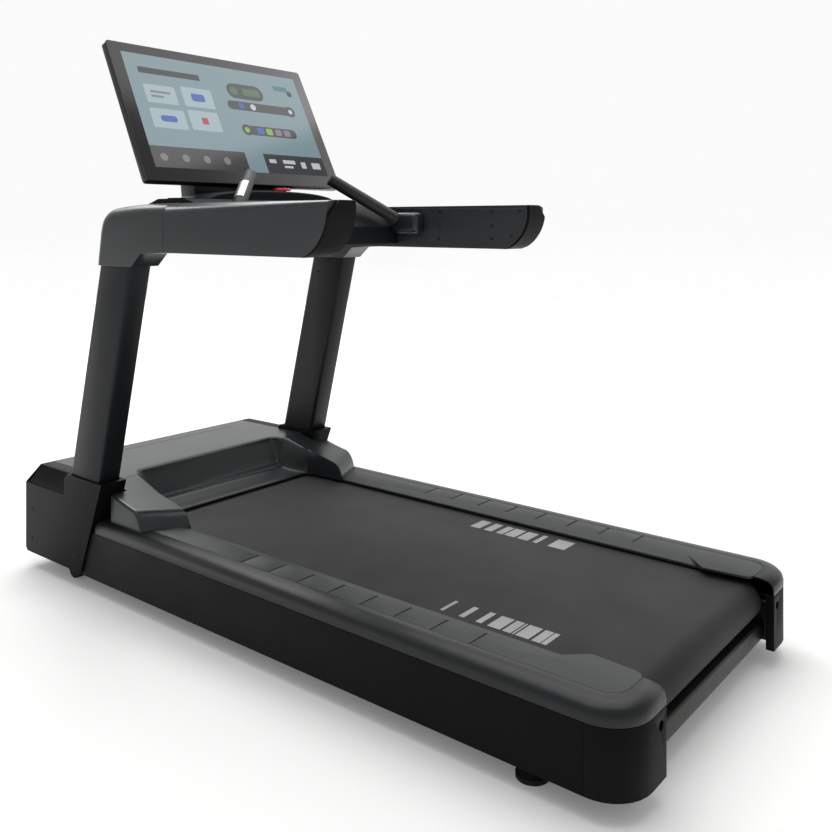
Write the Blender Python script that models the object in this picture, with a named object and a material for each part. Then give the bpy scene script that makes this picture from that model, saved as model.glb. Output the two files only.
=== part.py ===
"""Commercial treadmill with a large tilted display, as an assembly of separate parts.

Metres, +Z up. +Y points forward, to the motor end, and +X to the right of a person who runs on it.
The origin is on the floor, under the middle of the object's box.
"""

import math

import bmesh
import bpy
from mathutils import Matrix, Vector

# ---- driving sizes ---------------------------------------------------------------------------
GAP = 0.0003            # between pieces that touch
BASE_LENGTH = 2.036     # rear corner caps to front fascia
BELT_WIDTH = 0.640
BELT_THICKNESS = 0.003
BELT_TOP = 0.192        # walking surface above the floor
DRUM_RADIUS = 0.042
DRUM_WALL = 0.005
DRUM_HUB = 0.022        # length of each end hub
DRUM_INSET = 0.078      # rear drum axis, from the rear end
DRUM_FRONT_INSET = 0.368  # front drum axis, from the front end
AXLE_RADIUS = 0.010
DECK_THICKNESS = 0.025
RAIL_RISE = 0.020       # foot rails above the belt
PANEL_BOTTOM = 0.042
WALL = 0.0035           # plastic covers

FRAME_CLEARANCE = 0.032  # belt edge to frame rail
FRAME_TUBE_WIDTH = 0.032
FRAME_TUBE_TOP = 0.160
TUBE_WALL = 0.003
UPRIGHT_OFFSET = 0.006  # frame rail to the upright's inner face
UPRIGHT_WIDTH = 0.071
UPRIGHT_DEPTH = 0.1494  # measured level, along Y
UPRIGHT_SLOPE = 0.2455  # Y lost for each metre of height
UPRIGHT_FRONT_INSET = 0.474  # upright's centre line at hand height, from the front end
PANEL_OFFSET = 0.001    # upright's outer face to the side panels' outer face
COVER_OFFSET = 0.006    # upright's outer face to the housing covers' outer face
TRIM_WIDTH = 0.0545
RAIL_LIP = 0.0335       # width of the foot rail's inner chamfer
RAIL_OVERHANG = 0.0065  # foot rail over the belt edge
GROOVE_PITCH = 0.101
GROOVE_COUNT = 8
CORNER_RADIUS = 0.090   # rear corners, seen from above

COLLAR_MARGIN = 0.02151  # upright's rear face to the rear of its socket collar
HOUSING_BOTTOM = 0.046
HOUSING_RAKE = 0.389    # Y gained by the covers' rear edge for each metre down
HOOD_LENGTH = 0.463     # front end to the lip over the belt
LOBE_LENGTH = 0.581     # front end to the rear of the two lobes

ARM_BOTTOM = 0.988
ARM_TOP = 1.120
ARM_SEAM_INSET = 0.708  # front end to the seam between arm and upright hood
ARM_REAR_INSET = 1.307  # front end to the arm's rear edge, at its top
ARM_CAP_DEPTH = 0.008
CONSOLE_TOP = 1.135
CONSOLE_BOTTOM = 1.000
CONSOLE_REAR_INSET = 0.810
CONSOLE_LENGTH = 0.445
CUP_RADIUS = 0.041
CUP_DEPTH = 0.080
CUP_OFFSET = 0.054      # from the arm's inner face to the cup's centre
POD_HALF_WIDTH = 0.260
POD_RISE = 0.030

DISPLAY_WIDTH = 0.788
DISPLAY_HEIGHT = 0.475
DISPLAY_THICKNESS = 0.036
SCREEN_THICKNESS = 0.005
DISPLAY_TILT = math.radians(26.6)
DISPLAY_BOTTOM = 1.188
DISPLAY_INSET = 0.534   # front end to the display's lower front edge
BRACKET_HALF_WIDTH = 0.190

BUTTON_RADIUS = 0.028
BUTTON_TRAVEL = 0.005
BUTTON_OFFSET = 0.100
GRIP_RADIUS = 0.0195
WHEEL_RADIUS = 0.030
FOOT_RADIUS = 0.034
MOTOR_RADIUS = 0.058
DRIVE_BELT_THICKNESS = 0.004
PULLEY_RADIUS = 0.050   # on the front drum
MOTOR_PULLEY_RADIUS = 0.020

# ---- sizes that follow -----------------------------------------------------------------------
FRONT = BASE_LENGTH / 2
REAR = -BASE_LENGTH / 2
BELT_HALF = BELT_WIDTH / 2
RAIL_TOP = BELT_TOP + RAIL_RISE
HOUSING_TOP = RAIL_TOP + 0.096
COLLAR_TOP = HOUSING_TOP + 0.014
RECESS_HALF_WIDTH = BELT_HALF - 0.030
FRAME_IN = BELT_HALF + FRAME_CLEARANCE
FRAME_OUT = FRAME_IN + FRAME_TUBE_WIDTH
UPRIGHT_IN = FRAME_OUT + UPRIGHT_OFFSET
UPRIGHT_OUT = UPRIGHT_IN + UPRIGHT_WIDTH
PANEL_OUT = UPRIGHT_OUT + PANEL_OFFSET
COVER_OUT = UPRIGHT_OUT + COVER_OFFSET
COVER_IN = UPRIGHT_IN - 0.006
RAIL_IN = BELT_HALF - RAIL_OVERHANG
RAIL_EDGE = RAIL_IN + RAIL_LIP
RAIL_OUT = PANEL_OUT - TRIM_WIDTH
CAP_IN = BELT_HALF - 0.008
BOLT_X = BELT_HALF + 0.016
FRAME_BOTTOM = PANEL_BOTTOM + 0.004 + GAP
DRUM_Z = BELT_TOP - BELT_THICKNESS - GAP - DRUM_RADIUS
DRUM_REAR_Y = REAR + DRUM_INSET
DRUM_FRONT_Y = FRONT - DRUM_FRONT_INSET
DECK_TOP = BELT_TOP - BELT_THICKNESS - GAP
DECK_BOTTOM = DECK_TOP - DECK_THICKNESS
HAND_Z = 0.942
UPRIGHT_Y = FRONT - UPRIGHT_FRONT_INSET
UPRIGHT_FOOT_Z = COLLAR_TOP - 0.097
UPRIGHT_TOP_Z = 1.030
COLLAR_REAR = UPRIGHT_Y + UPRIGHT_SLOPE * (HAND_Z - COLLAR_TOP) - UPRIGHT_DEPTH / 2 - COLLAR_MARGIN
ARM_OUT = UPRIGHT_OUT + 0.005
ARM_IN = UPRIGHT_IN - 0.015
ARM_SEAM = FRONT - ARM_SEAM_INSET
ARM_REAR = FRONT - ARM_REAR_INSET
CONSOLE_REAR = FRONT - CONSOLE_REAR_INSET
CONSOLE_FRONT = CONSOLE_REAR + CONSOLE_LENGTH
CUP_X = ARM_IN - CUP_OFFSET
CUP_Y = CONSOLE_REAR + 0.207
DISPLAY_Y = FRONT - DISPLAY_INSET
HOOD_SIDE = COVER_IN - GAP

DARK_COVER = (0.022, 0.023, 0.025)
SATIN_GREY = (0.045, 0.049, 0.052)
RAIL_GREY = (0.105, 0.112, 0.112)
BLACK_STEEL = (0.020, 0.020, 0.021)
BARE_STEEL = (0.42, 0.42, 0.42)


# ---- helpers ---------------------------------------------------------------------------------
def material(name, color, roughness=0.5, metallic=0.0):
    made = bpy.data.materials.new(name)
    made.use_nodes = True
    shader = made.node_tree.nodes["Principled BSDF"]
    shader.inputs["Base Color"].default_value = (*color, 1.0)
    shader.inputs["Roughness"].default_value = roughness
    shader.inputs["Metallic"].default_value = metallic
    return made


def add_object(name, bm, look, origin=(0, 0, 0), smooth=True):
    """Makes an object of a bmesh in world places, with its origin where asked."""
    bmesh.ops.recalc_face_normals(bm, faces=bm.faces)
    bmesh.ops.translate(bm, verts=bm.verts, vec=-Vector(origin))
    mesh = bpy.data.meshes.new(name)
    bm.to_mesh(mesh)
    bm.free()
    if smooth:
        mesh.shade_smooth()
        mesh.set_sharp_from_angle(angle=math.radians(32))
    obj = bpy.data.objects.new(name, mesh)
    obj.location = origin
    bpy.context.scene.collection.objects.link(obj)
    if look:
        mesh.materials.append(look)
    return obj


def boolean(target, operation, bm):
    """Joins or cuts the target with a hidden helper made of this bmesh."""
    count = len(target.modifiers)
    helper = add_object(f"{target.name}_helper_{count}", bm, None, smooth=False)
    helper.hide_render = True
    helper.display_type = "WIRE"
    modifier = target.modifiers.new(f"{operation.lower()}_{count}", "BOOLEAN")
    modifier.operation = operation
    modifier.solver = "EXACT"
    modifier.object = helper


def cut(target, bm):
    boolean(target, "DIFFERENCE", bm)


def join(target, bm):
    boolean(target, "UNION", bm)


def block(low, high):
    """A box between two corners."""
    bm = bmesh.new()
    bmesh.ops.create_cube(bm, size=1)
    middle = (Vector(low) + Vector(high)) / 2
    size = Vector(high) - Vector(low)
    bmesh.ops.scale(bm, verts=bm.verts, vec=size)
    bmesh.ops.translate(bm, verts=bm.verts, vec=middle)
    return bm


def prism(outline, axis, start, end):
    """A closed outline in the plane across the axis, extruded along it from start to end.

    The outline's pairs are (y, z) for axis X, (x, z) for axis Y and (x, y) for axis Z.
    """
    place = {
        "X": lambda a, b: (start, a, b),
        "Y": lambda a, b: (a, start, b),
        "Z": lambda a, b: (a, b, start),
    }[axis]
    along = {"X": (end - start, 0, 0), "Y": (0, end - start, 0), "Z": (0, 0, end - start)}[axis]
    bm = bmesh.new()
    face = bm.faces.new([bm.verts.new(place(a, b)) for a, b in outline])
    made = bmesh.ops.extrude_face_region(bm, geom=[face])
    moved = [item for item in made["geom"] if isinstance(item, bmesh.types.BMVert)]
    bmesh.ops.translate(bm, verts=moved, vec=along)
    bmesh.ops.recalc_face_normals(bm, faces=bm.faces)
    return bm


def rod(start, end, radius, segments=24, end_radius=None):
    """A cylinder or cone between two points."""
    start = Vector(start)
    end = Vector(end)
    bm = bmesh.new()
    far = radius if end_radius is None else end_radius
    bmesh.ops.create_cone(
        bm, cap_ends=True, segments=segments, radius1=radius, radius2=far, depth=(end - start).length
    )
    turn = Vector((0, 0, 1)).rotation_difference(end - start).to_matrix().to_4x4()
    bmesh.ops.transform(bm, matrix=Matrix.Translation((start + end) / 2) @ turn, verts=bm.verts)
    return bm


def turned(section, y, z, segments=32):
    """A round piece on an axis along X, from its wall's closed section of (x, radius) pairs."""
    bm = bmesh.new()
    loop = [bm.verts.new((x, y, z + radius)) for x, radius in section]
    edges = [bm.edges.new((loop[i - 1], loop[i])) for i in range(len(loop))]
    bmesh.ops.spin(
        bm, geom=loop + edges, cent=(0, y, z), axis=(1, 0, 0), angle=math.tau, steps=segments,
        use_merge=True,
    )
    bmesh.ops.remove_doubles(bm, verts=bm.verts, dist=1e-6)
    bmesh.ops.recalc_face_normals(bm, faces=bm.faces)
    return bm


def ring(x_low, x_high, y, z, outer, inner, segments=32):
    """A plain tube along X."""
    return turned([(x_low, outer), (x_high, outer), (x_high, inner), (x_low, inner)], y, z, segments)


def arc(center, radius, first, last, steps):
    """Points on an arc in any plane, with both ends."""
    return [
        (
            center[0] + radius * math.cos(math.radians(first + (last - first) * i / steps)),
            center[1] + radius * math.sin(math.radians(first + (last - first) * i / steps)),
        )
        for i in range(steps + 1)
    ]


def band(x_low, x_high, outside, inside):
    """A closed loop of belt, from the outlines of its two faces in the (y, z) plane."""
    bm = bmesh.new()
    rows = []
    for x, points in ((x_low, outside), (x_high, outside), (x_high, inside), (x_low, inside)):
        rows.append([bm.verts.new((x, y, z)) for y, z in points])
    for i in range(4):
        for j in range(len(outside)):
            bm.faces.new((rows[i - 1][j - 1], rows[i][j - 1], rows[i][j], rows[i - 1][j]))
    return bm


def mirrored(bm, side):
    """The right-hand shape, or its mirror image for the left."""
    if side < 0:
        bmesh.ops.scale(bm, verts=bm.verts, vec=(-1, 1, 1))
        bmesh.ops.reverse_faces(bm, faces=bm.faces)
    return bm


def bevelled(bm, edges, width, segments=2):
    bmesh.ops.bevel(
        bm, geom=edges, offset=width, affect="EDGES", segments=segments, profile=0.5, material=-1
    )
    return bm


def edges_along(bm, axis):
    """Edges that run along X, Y or Z."""
    index = "XYZ".index(axis)
    return [
        edge for edge in bm.edges
        if abs((edge.verts[1].co - edge.verts[0].co).normalized()[index]) > 0.999
    ]


def upright_y(z):
    """Y of the upright's centre line at a height."""
    return UPRIGHT_Y + (HAND_Z - z) * UPRIGHT_SLOPE


def housing_rear(z):
    """Y of the housing covers' raked rear edge at a height."""
    return COLLAR_REAR + HOUSING_RAKE * (COLLAR_TOP - z)


def upright_outline(z, margin):
    """The upright's level section at a height, with a margin, as (x, y) pairs on the right side."""
    y = upright_y(z)
    half = UPRIGHT_DEPTH / 2 + margin
    return [
        (UPRIGHT_IN - margin, y - half),
        (UPRIGHT_OUT + margin, y - half),
        (UPRIGHT_OUT + margin, y + half),
        (UPRIGHT_IN - margin, y + half),
    ]


def sloped_prism(z_low, z_high, margin, corner=0.0):
    """The upright's leaning section between two heights."""
    bm = prism(upright_outline(z_low, margin), "Z", z_low, z_high)
    for vert in bm.verts:
        if vert.co.z > (z_low + z_high) / 2:
            vert.co.y += upright_y(z_high) - upright_y(z_low)
    if corner:
        long_edges = [e for e in bm.edges if abs(e.verts[0].co.z - e.verts[1].co.z) > 1e-6]
        bevelled(bm, long_edges, corner)
    return bm


SIDES = (("left", -1), ("right", 1))

# ---- start from an empty scene ---------------------------------------------------------------
for old in list(bpy.data.objects):
    bpy.data.objects.remove(old)

plastic = material("satin_plastic", SATIN_GREY, 0.42)
dark_plastic = material("textured_black_plastic", DARK_COVER, 0.55)
rail_plastic = material("ribbed_rail_plastic", RAIL_GREY, 0.6)
painted = material("black_painted_steel", BLACK_STEEL, 0.45, 0.3)
steel = material("bare_steel", BARE_STEEL, 0.35, 1.0)
rubber = material("black_rubber", (0.015, 0.015, 0.015), 0.8)
belting = material("running_belt", (0.045, 0.045, 0.044), 0.85)
board = material("waxed_deck_board", (0.16, 0.10, 0.06), 0.5)
red = material("red_button_plastic", (0.80, 0.03, 0.02), 0.35)
glass = material("display_glass", (0.30, 0.42, 0.45), 0.12)
sensor = material("polished_sensor_steel", (0.62, 0.62, 0.58), 0.25, 1.0)
aluminium = material("cast_aluminium", (0.35, 0.35, 0.36), 0.4, 1.0)


# ---- base frame ------------------------------------------------------------------------------
PIVOT_Y = FRONT - 0.688      # lift frame's hinge
PIVOT_Z = 0.073
PIVOT_RADIUS = 0.008
LEVEL_FOOT_Y = REAR + 0.231
LEVEL_FOOT_X = FRAME_OUT + 0.022
STEM_RADIUS = 0.006


def frame_rail(side_name, side):
    outline = [
        (FRAME_IN, FRAME_BOTTOM), (FRAME_OUT, FRAME_BOTTOM),
        (FRAME_OUT, FRAME_TUBE_TOP), (FRAME_IN, FRAME_TUBE_TOP),
    ]
    inside = [
        (FRAME_IN + TUBE_WALL, FRAME_BOTTOM + TUBE_WALL), (FRAME_OUT - TUBE_WALL, FRAME_BOTTOM + TUBE_WALL),
        (FRAME_OUT - TUBE_WALL, FRAME_TUBE_TOP - TUBE_WALL),
        (FRAME_IN + TUBE_WALL, FRAME_TUBE_TOP - TUBE_WALL),
    ]
    start = REAR + 0.020
    end = FRONT - 0.040
    rail = add_object(f"frame_rail_{side_name}", mirrored(prism(outline, "Y", start, end), side), painted)
    cut(rail, mirrored(prism(inside, "Y", start - 0.01, end + 0.01), side))
    bracket = block(
        (FRAME_OUT - 0.002, LEVEL_FOOT_Y - 0.035, FRAME_BOTTOM),
        (LEVEL_FOOT_X + 0.030, LEVEL_FOOT_Y + 0.035, FRAME_BOTTOM + 0.010),
    )
    join(rail, mirrored(bracket, side))
    stem_hole = rod(
        (LEVEL_FOOT_X, LEVEL_FOOT_Y, FRAME_BOTTOM - 0.01), (LEVEL_FOOT_X, LEVEL_FOOT_Y, FRAME_BOTTOM + 0.03),
        STEM_RADIUS + GAP, 16,
    )
    cut(rail, mirrored(stem_hole, side))
    pivot_hole = rod(
        (FRAME_IN - 0.01, PIVOT_Y, PIVOT_Z), (FRAME_IN + 0.01, PIVOT_Y, PIVOT_Z), PIVOT_RADIUS + GAP, 24
    )
    cut(rail, mirrored(pivot_hole, side))


def crossbars():
    inner = FRAME_IN - GAP
    rear_bar = block((-inner, REAR + 0.036, 0.052), (inner, REAR + 0.076, 0.097))
    bevelled(rear_bar, edges_along(rear_bar, "X"), 0.004, 1)
    add_object("rear_crossbar", rear_bar, painted)
    return_run_top = DRUM_Z - DRUM_RADIUS + 0.006
    for place, y in (("rear", REAR + 0.420), ("front", FRONT - 0.560)):
        bar = block((-inner, y - 0.030, return_run_top + 0.002), (inner, y + 0.030, DECK_BOTTOM - GAP))
        bevelled(bar, edges_along(bar, "X"), 0.004, 1)
        add_object(f"deck_crossbar_{place}", bar, painted)


PAN_REAR = FRONT - 0.283
PAN_Z = 0.060
LIFT_TOP_Y = FRONT - 0.053    # lift motor's upper pin
LIFT_TOP_Z = 0.262
LIFT_LOW_Y = FRONT - 0.318    # lift tube's lower pin
LIFT_LOW_Z = 0.055
LIFT_EAR_X = 0.026
LIFT_ARM_IN = FRAME_IN - 0.052
LIFT_ARM_OUT = FRAME_IN - 0.026
WHEEL_Y = FRONT - 0.218
WHEEL_X = FRAME_OUT + 0.018
WHEEL_WIDTH = 0.030
LIFT_AXLE_RADIUS = 0.009
EAR_THICKNESS = 0.006


def motor_pan():
    inner = FRAME_IN - GAP
    front_wall = FRONT - 0.014
    pan = add_object(
        "motor_pan", block((-inner, PAN_REAR, PAN_Z), (inner, front_wall, PAN_Z + 0.003)), painted
    )
    join(pan, block((-inner, front_wall - 0.0035, PAN_Z), (inner, front_wall, PAN_Z + 0.025)))
    for x in (-LIFT_EAR_X - EAR_THICKNESS, LIFT_EAR_X):
        outline = [
            (LIFT_TOP_Y - 0.016, LIFT_TOP_Z + 0.016), (LIFT_TOP_Y + 0.016, LIFT_TOP_Z + 0.016),
            (front_wall - 0.001, LIFT_TOP_Z - 0.02), (front_wall - 0.001, PAN_Z + 0.001),
            (LIFT_TOP_Y - 0.030, PAN_Z + 0.001),
        ]
        join(pan, prism(outline, "X", x, x + EAR_THICKNESS))
    cut(pan, block((-0.050, PAN_REAR - 0.01, PAN_Z - 0.01), (0.050, PAN_REAR + 0.125, PAN_Z + 0.02)))
    for _, side in SIDES:
        notch = block(
            (LIFT_ARM_IN - 0.006, PAN_REAR - 0.01, PAN_Z - 0.01), (inner + 0.01, WHEEL_Y + 0.030, PAN_Z + 0.02)
        )
        cut(pan, mirrored(notch, side))
    cut(pan, rod((-0.06, LIFT_TOP_Y, LIFT_TOP_Z), (0.06, LIFT_TOP_Y, LIFT_TOP_Z), 0.008 + GAP, 20))


def upright(side_name, side):
    tube = add_object(
        f"upright_{side_name}",
        mirrored(sloped_prism(UPRIGHT_FOOT_Z, UPRIGHT_TOP_Z, 0.0, 0.010), side), painted,
    )
    cut(tube, mirrored(sloped_prism(UPRIGHT_FOOT_Z - 0.02, UPRIGHT_TOP_Z + 0.02, -TUBE_WALL, 0.007), side))
    low = HOUSING_BOTTOM + 0.020
    high = COLLAR_TOP - 0.022
    foot = [
        (housing_rear(low) + 0.012, low), (upright_y(low) + 0.115, low),
        (upright_y(high) + 0.058, high), (upright_y(high) - 0.058, high),
    ]
    join(tube, mirrored(prism(foot, "X", FRAME_OUT + GAP, UPRIGHT_IN + 0.002), side))


def handrail_frame():
    low = UPRIGHT_TOP_Z + GAP
    high = low + 0.040
    y = upright_y(UPRIGHT_TOP_Z)
    half = UPRIGHT_WIDTH / 2
    middle = (UPRIGHT_IN + UPRIGHT_OUT) / 2
    frame = add_object(
        "handrail_frame",
        block((-middle - half * 0.5, y - 0.022, low), (middle + half * 0.5, y + 0.018, high)),
        painted,
    )
    for _, side in SIDES:
        arm = block((middle - 0.018, ARM_REAR + 0.105, low), (middle + 0.018, y + 0.060, high))
        join(frame, mirrored(arm, side))


for name, sign in SIDES:
    frame_rail(name, sign)
    upright(name, sign)
crossbars()
motor_pan()
handrail_frame()


# ---- deck, belt and rollers ------------------------------------------------------------------
def belt_loop():
    """One closed band round both drums, with its inner face just clear of them."""
    inner = DRUM_RADIUS + GAP
    outer = inner + BELT_THICKNESS
    outside = arc((DRUM_FRONT_Y, DRUM_Z), outer, 90, -90, 20) + arc((DRUM_REAR_Y, DRUM_Z), outer, 270, 90, 20)
    inside = arc((DRUM_FRONT_Y, DRUM_Z), inner, 90, -90, 20) + arc((DRUM_REAR_Y, DRUM_Z), inner, 270, 90, 20)
    bm = band(-BELT_HALF, BELT_HALF, outside, inside)
    add_object("running_belt", bm, belting)


def drum(name, y):
    """A hollow drum whose two end hubs run on the axle."""
    bore = AXLE_RADIUS + GAP
    hub = DRUM_END - DRUM_HUB
    hollow = DRUM_RADIUS - DRUM_WALL
    section = [
        (-DRUM_END, DRUM_RADIUS), (DRUM_END, DRUM_RADIUS), (DRUM_END, bore), (hub, bore),
        (hub, hollow), (-hub, hollow), (-hub, bore), (-DRUM_END, bore),
    ]
    return add_object(name, turned(section, y, DRUM_Z, 36), steel, (0, y, DRUM_Z))


def axle(name, y):
    reach = FRAME_IN - GAP
    add_object(name, rod((-reach, y, DRUM_Z), (reach, y, DRUM_Z), AXLE_RADIUS, 20), steel)


DRUM_END = BELT_HALF + 0.003
PULLEY_OUT = FRAME_IN - 0.003
MOTOR_Y = FRONT - 0.185
MOTOR_Z = DRUM_Z
MOTOR_LEFT = -BELT_HALF + 0.035
MOTOR_RIGHT = -0.085

belt_loop()
add_object(
    "deck_board",
    block((-FRAME_IN + 0.002, REAR + 0.145, DECK_BOTTOM), (FRAME_IN - 0.002, DRUM_FRONT_Y - 0.062, DECK_TOP)),
    board,
)
drum("rear_roller", DRUM_REAR_Y)
front_roller = drum("front_roller", DRUM_FRONT_Y)
join(
    front_roller,
    ring(-PULLEY_OUT, -DRUM_END + 0.002, DRUM_FRONT_Y, DRUM_Z, PULLEY_RADIUS, AXLE_RADIUS + GAP, 36),
)
axle("rear_axle", DRUM_REAR_Y)
axle("front_axle", DRUM_FRONT_Y)


# ---- drive -----------------------------------------------------------------------------------
def drive_belt():
    """The poly-V belt: a band on two circles of different size, with straight tangents."""
    run = MOTOR_Y - DRUM_FRONT_Y
    lean = math.degrees(math.acos((PULLEY_RADIUS - MOTOR_PULLEY_RADIUS) / run))

    def outline(extra):
        points = arc((MOTOR_Y, MOTOR_Z), MOTOR_PULLEY_RADIUS + extra, lean, -lean, 12)
        return points + arc((DRUM_FRONT_Y, DRUM_Z), PULLEY_RADIUS + extra, 360 - lean, lean, 24)

    bm = band(-PULLEY_OUT + 0.002, -DRUM_END - 0.004, outline(GAP + DRIVE_BELT_THICKNESS), outline(GAP))
    add_object("drive_belt", bm, rubber)


def motor():
    bore = 0.0090 + GAP
    body = add_object(
        "motor_body", ring(MOTOR_LEFT, MOTOR_RIGHT, MOTOR_Y, MOTOR_Z, MOTOR_RADIUS, bore, 28), aluminium
    )
    foot = block(
        (MOTOR_LEFT + 0.020, MOTOR_Y - 0.060, PAN_Z + 0.003 + GAP),
        (MOTOR_RIGHT - 0.020, MOTOR_Y + 0.060, MOTOR_Z - MOTOR_RADIUS + 0.010),
    )
    join(body, foot)
    rotor = add_object(
        "motor_rotor",
        rod((-PULLEY_OUT, MOTOR_Y, MOTOR_Z), (MOTOR_RIGHT + 0.016, MOTOR_Y, MOTOR_Z), 0.0090, 24),
        steel, (0, MOTOR_Y, MOTOR_Z),
    )
    join(
        rotor,
        rod((-PULLEY_OUT + 0.001, MOTOR_Y, MOTOR_Z), (-DRUM_END, MOTOR_Y, MOTOR_Z), MOTOR_PULLEY_RADIUS, 24),
    )
    join(
        rotor,
        rod((MOTOR_RIGHT + 0.003, MOTOR_Y, MOTOR_Z), (MOTOR_RIGHT + 0.015, MOTOR_Y, MOTOR_Z), 0.052, 28),
    )


def motor_controller():
    box = block(
        (0.070, FRONT - 0.270, PAN_Z + 0.003 + GAP), (LIFT_ARM_IN - 0.010, FRONT - 0.090, PAN_Z + 0.075)
    )
    bevelled(box, edges_along(box, "Y"), 0.004, 1)
    controller = add_object("motor_controller", box, aluminium)
    for i in range(5):
        x = 0.090 + i * 0.042
        cut(controller, block((x, FRONT - 0.30, PAN_Z + 0.062), (x + 0.012, FRONT - 0.05, PAN_Z + 0.080)))


drive_belt()
motor()
motor_controller()


# ---- lift ------------------------------------------------------------------------------------
def lift_frame():
    cross = block(
        (-LIFT_ARM_IN - 0.002, LIFT_LOW_Y - 0.074, 0.048), (LIFT_ARM_IN + 0.002, LIFT_LOW_Y - 0.048, 0.072)
    )
    frame = add_object("lift_frame", cross, painted, (0, PIVOT_Y, PIVOT_Z))
    for _, side in SIDES:
        outline = [
            (PIVOT_Y - 0.016, PIVOT_Z - 0.013), (WHEEL_Y - 0.040, PIVOT_Z - 0.013), (WHEEL_Y - 0.015, 0.018),
            (WHEEL_Y + 0.015, 0.018), (WHEEL_Y + 0.015, 0.050), (WHEEL_Y - 0.020, PIVOT_Z + 0.013),
            (PIVOT_Y - 0.016, PIVOT_Z + 0.013),
        ]
        join(frame, mirrored(prism(outline, "X", LIFT_ARM_IN, LIFT_ARM_OUT), side))
        pin = rod(
            (LIFT_ARM_OUT - 0.004, PIVOT_Y, PIVOT_Z), (FRAME_IN + TUBE_WALL - GAP, PIVOT_Y, PIVOT_Z),
            PIVOT_RADIUS, 24
        )
        join(frame, mirrored(pin, side))
        ear_outline = [
            (LIFT_LOW_Y - 0.052, 0.050), (LIFT_LOW_Y, 0.040), (LIFT_LOW_Y + 0.014, 0.044),
            (LIFT_LOW_Y + 0.014, 0.066), (LIFT_LOW_Y - 0.052, 0.070),
        ]
        join(frame, mirrored(prism(ear_outline, "X", LIFT_EAR_X, LIFT_EAR_X + EAR_THICKNESS), side))
    reach = WHEEL_X + WHEEL_WIDTH + 0.003
    join(frame, rod((-reach, WHEEL_Y, WHEEL_RADIUS), (reach, WHEEL_Y, WHEEL_RADIUS), LIFT_AXLE_RADIUS, 24))


def lift_point(distance):
    """A point on the lift motor's axis, this far below its upper pin."""
    upper = Vector((0, LIFT_TOP_Y, LIFT_TOP_Z))
    lower = Vector((0, LIFT_LOW_Y, LIFT_LOW_Z))
    return upper + (lower - upper).normalized() * distance


def lift_actuator():
    length = (Vector((0, LIFT_TOP_Y, LIFT_TOP_Z)) - Vector((0, LIFT_LOW_Y, LIFT_LOW_Z))).length
    outer_end = length - 0.023
    motor_case = add_object(
        "lift_motor", rod(lift_point(0.012), lift_point(outer_end), 0.021, 20), aluminium,
        (0, LIFT_TOP_Y, LIFT_TOP_Z),
    )
    join(motor_case, rod((-0.024, LIFT_TOP_Y, LIFT_TOP_Z), (0.024, LIFT_TOP_Y, LIFT_TOP_Z), 0.015, 20))
    join(motor_case, rod((-0.034, LIFT_TOP_Y, LIFT_TOP_Z), (0.034, LIFT_TOP_Y, LIFT_TOP_Z), 0.008, 20))
    cut(motor_case, rod(lift_point(0.060), lift_point(length + 0.02), 0.0155, 20))
    inner_tube = add_object(
        "lift_tube", rod(lift_point(0.095), lift_point(length - 0.008), 0.0148, 20), steel,
        tuple(lift_point(length)),
    )
    eye = rod((-0.012, LIFT_LOW_Y, LIFT_LOW_Z), (0.012, LIFT_LOW_Y, LIFT_LOW_Z), 0.013, 20)
    join(inner_tube, eye)


def lift_wheel(side_name, side):
    center = (side * (WHEEL_X + WHEEL_WIDTH / 2), WHEEL_Y, WHEEL_RADIUS)
    wheel = ring(
        WHEEL_X, WHEEL_X + WHEEL_WIDTH, WHEEL_Y, WHEEL_RADIUS, WHEEL_RADIUS, LIFT_AXLE_RADIUS + GAP, 28
    )
    add_object(f"lift_wheel_{side_name}", mirrored(wheel, side), rubber, center)


def level_foot(side_name, side):
    bm = rod(
        (LEVEL_FOOT_X, LEVEL_FOOT_Y, 0), (LEVEL_FOOT_X, LEVEL_FOOT_Y, 0.010), FOOT_RADIUS, 28, FOOT_RADIUS
    )
    foot = add_object(
        f"level_foot_{side_name}", mirrored(bm, side), rubber, (side * LEVEL_FOOT_X, LEVEL_FOOT_Y, 0)
    )
    dome = rod(
        (LEVEL_FOOT_X, LEVEL_FOOT_Y, 0.009), (LEVEL_FOOT_X, LEVEL_FOOT_Y, 0.026),
        FOOT_RADIUS - 0.002, 28, 0.012
    )
    join(foot, mirrored(dome, side))
    stem = rod((LEVEL_FOOT_X, LEVEL_FOOT_Y, 0.020), (LEVEL_FOOT_X, LEVEL_FOOT_Y, 0.110), STEM_RADIUS, 16)
    join(foot, mirrored(stem, side))


lift_frame()
lift_actuator()
for name, sign in SIDES:
    lift_wheel(name, sign)
    level_foot(name, sign)


# ---- side covers of the base -----------------------------------------------------------------
PANEL_FRONT = COLLAR_REAR + 0.120
PANEL_TOP = RAIL_TOP - 0.0375
CAP_FRONT = REAR + CORNER_RADIUS + 0.002
TRIM_FRONT = COLLAR_REAR + 0.040
RAIL_FRONT = COLLAR_REAR - 0.100


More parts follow.
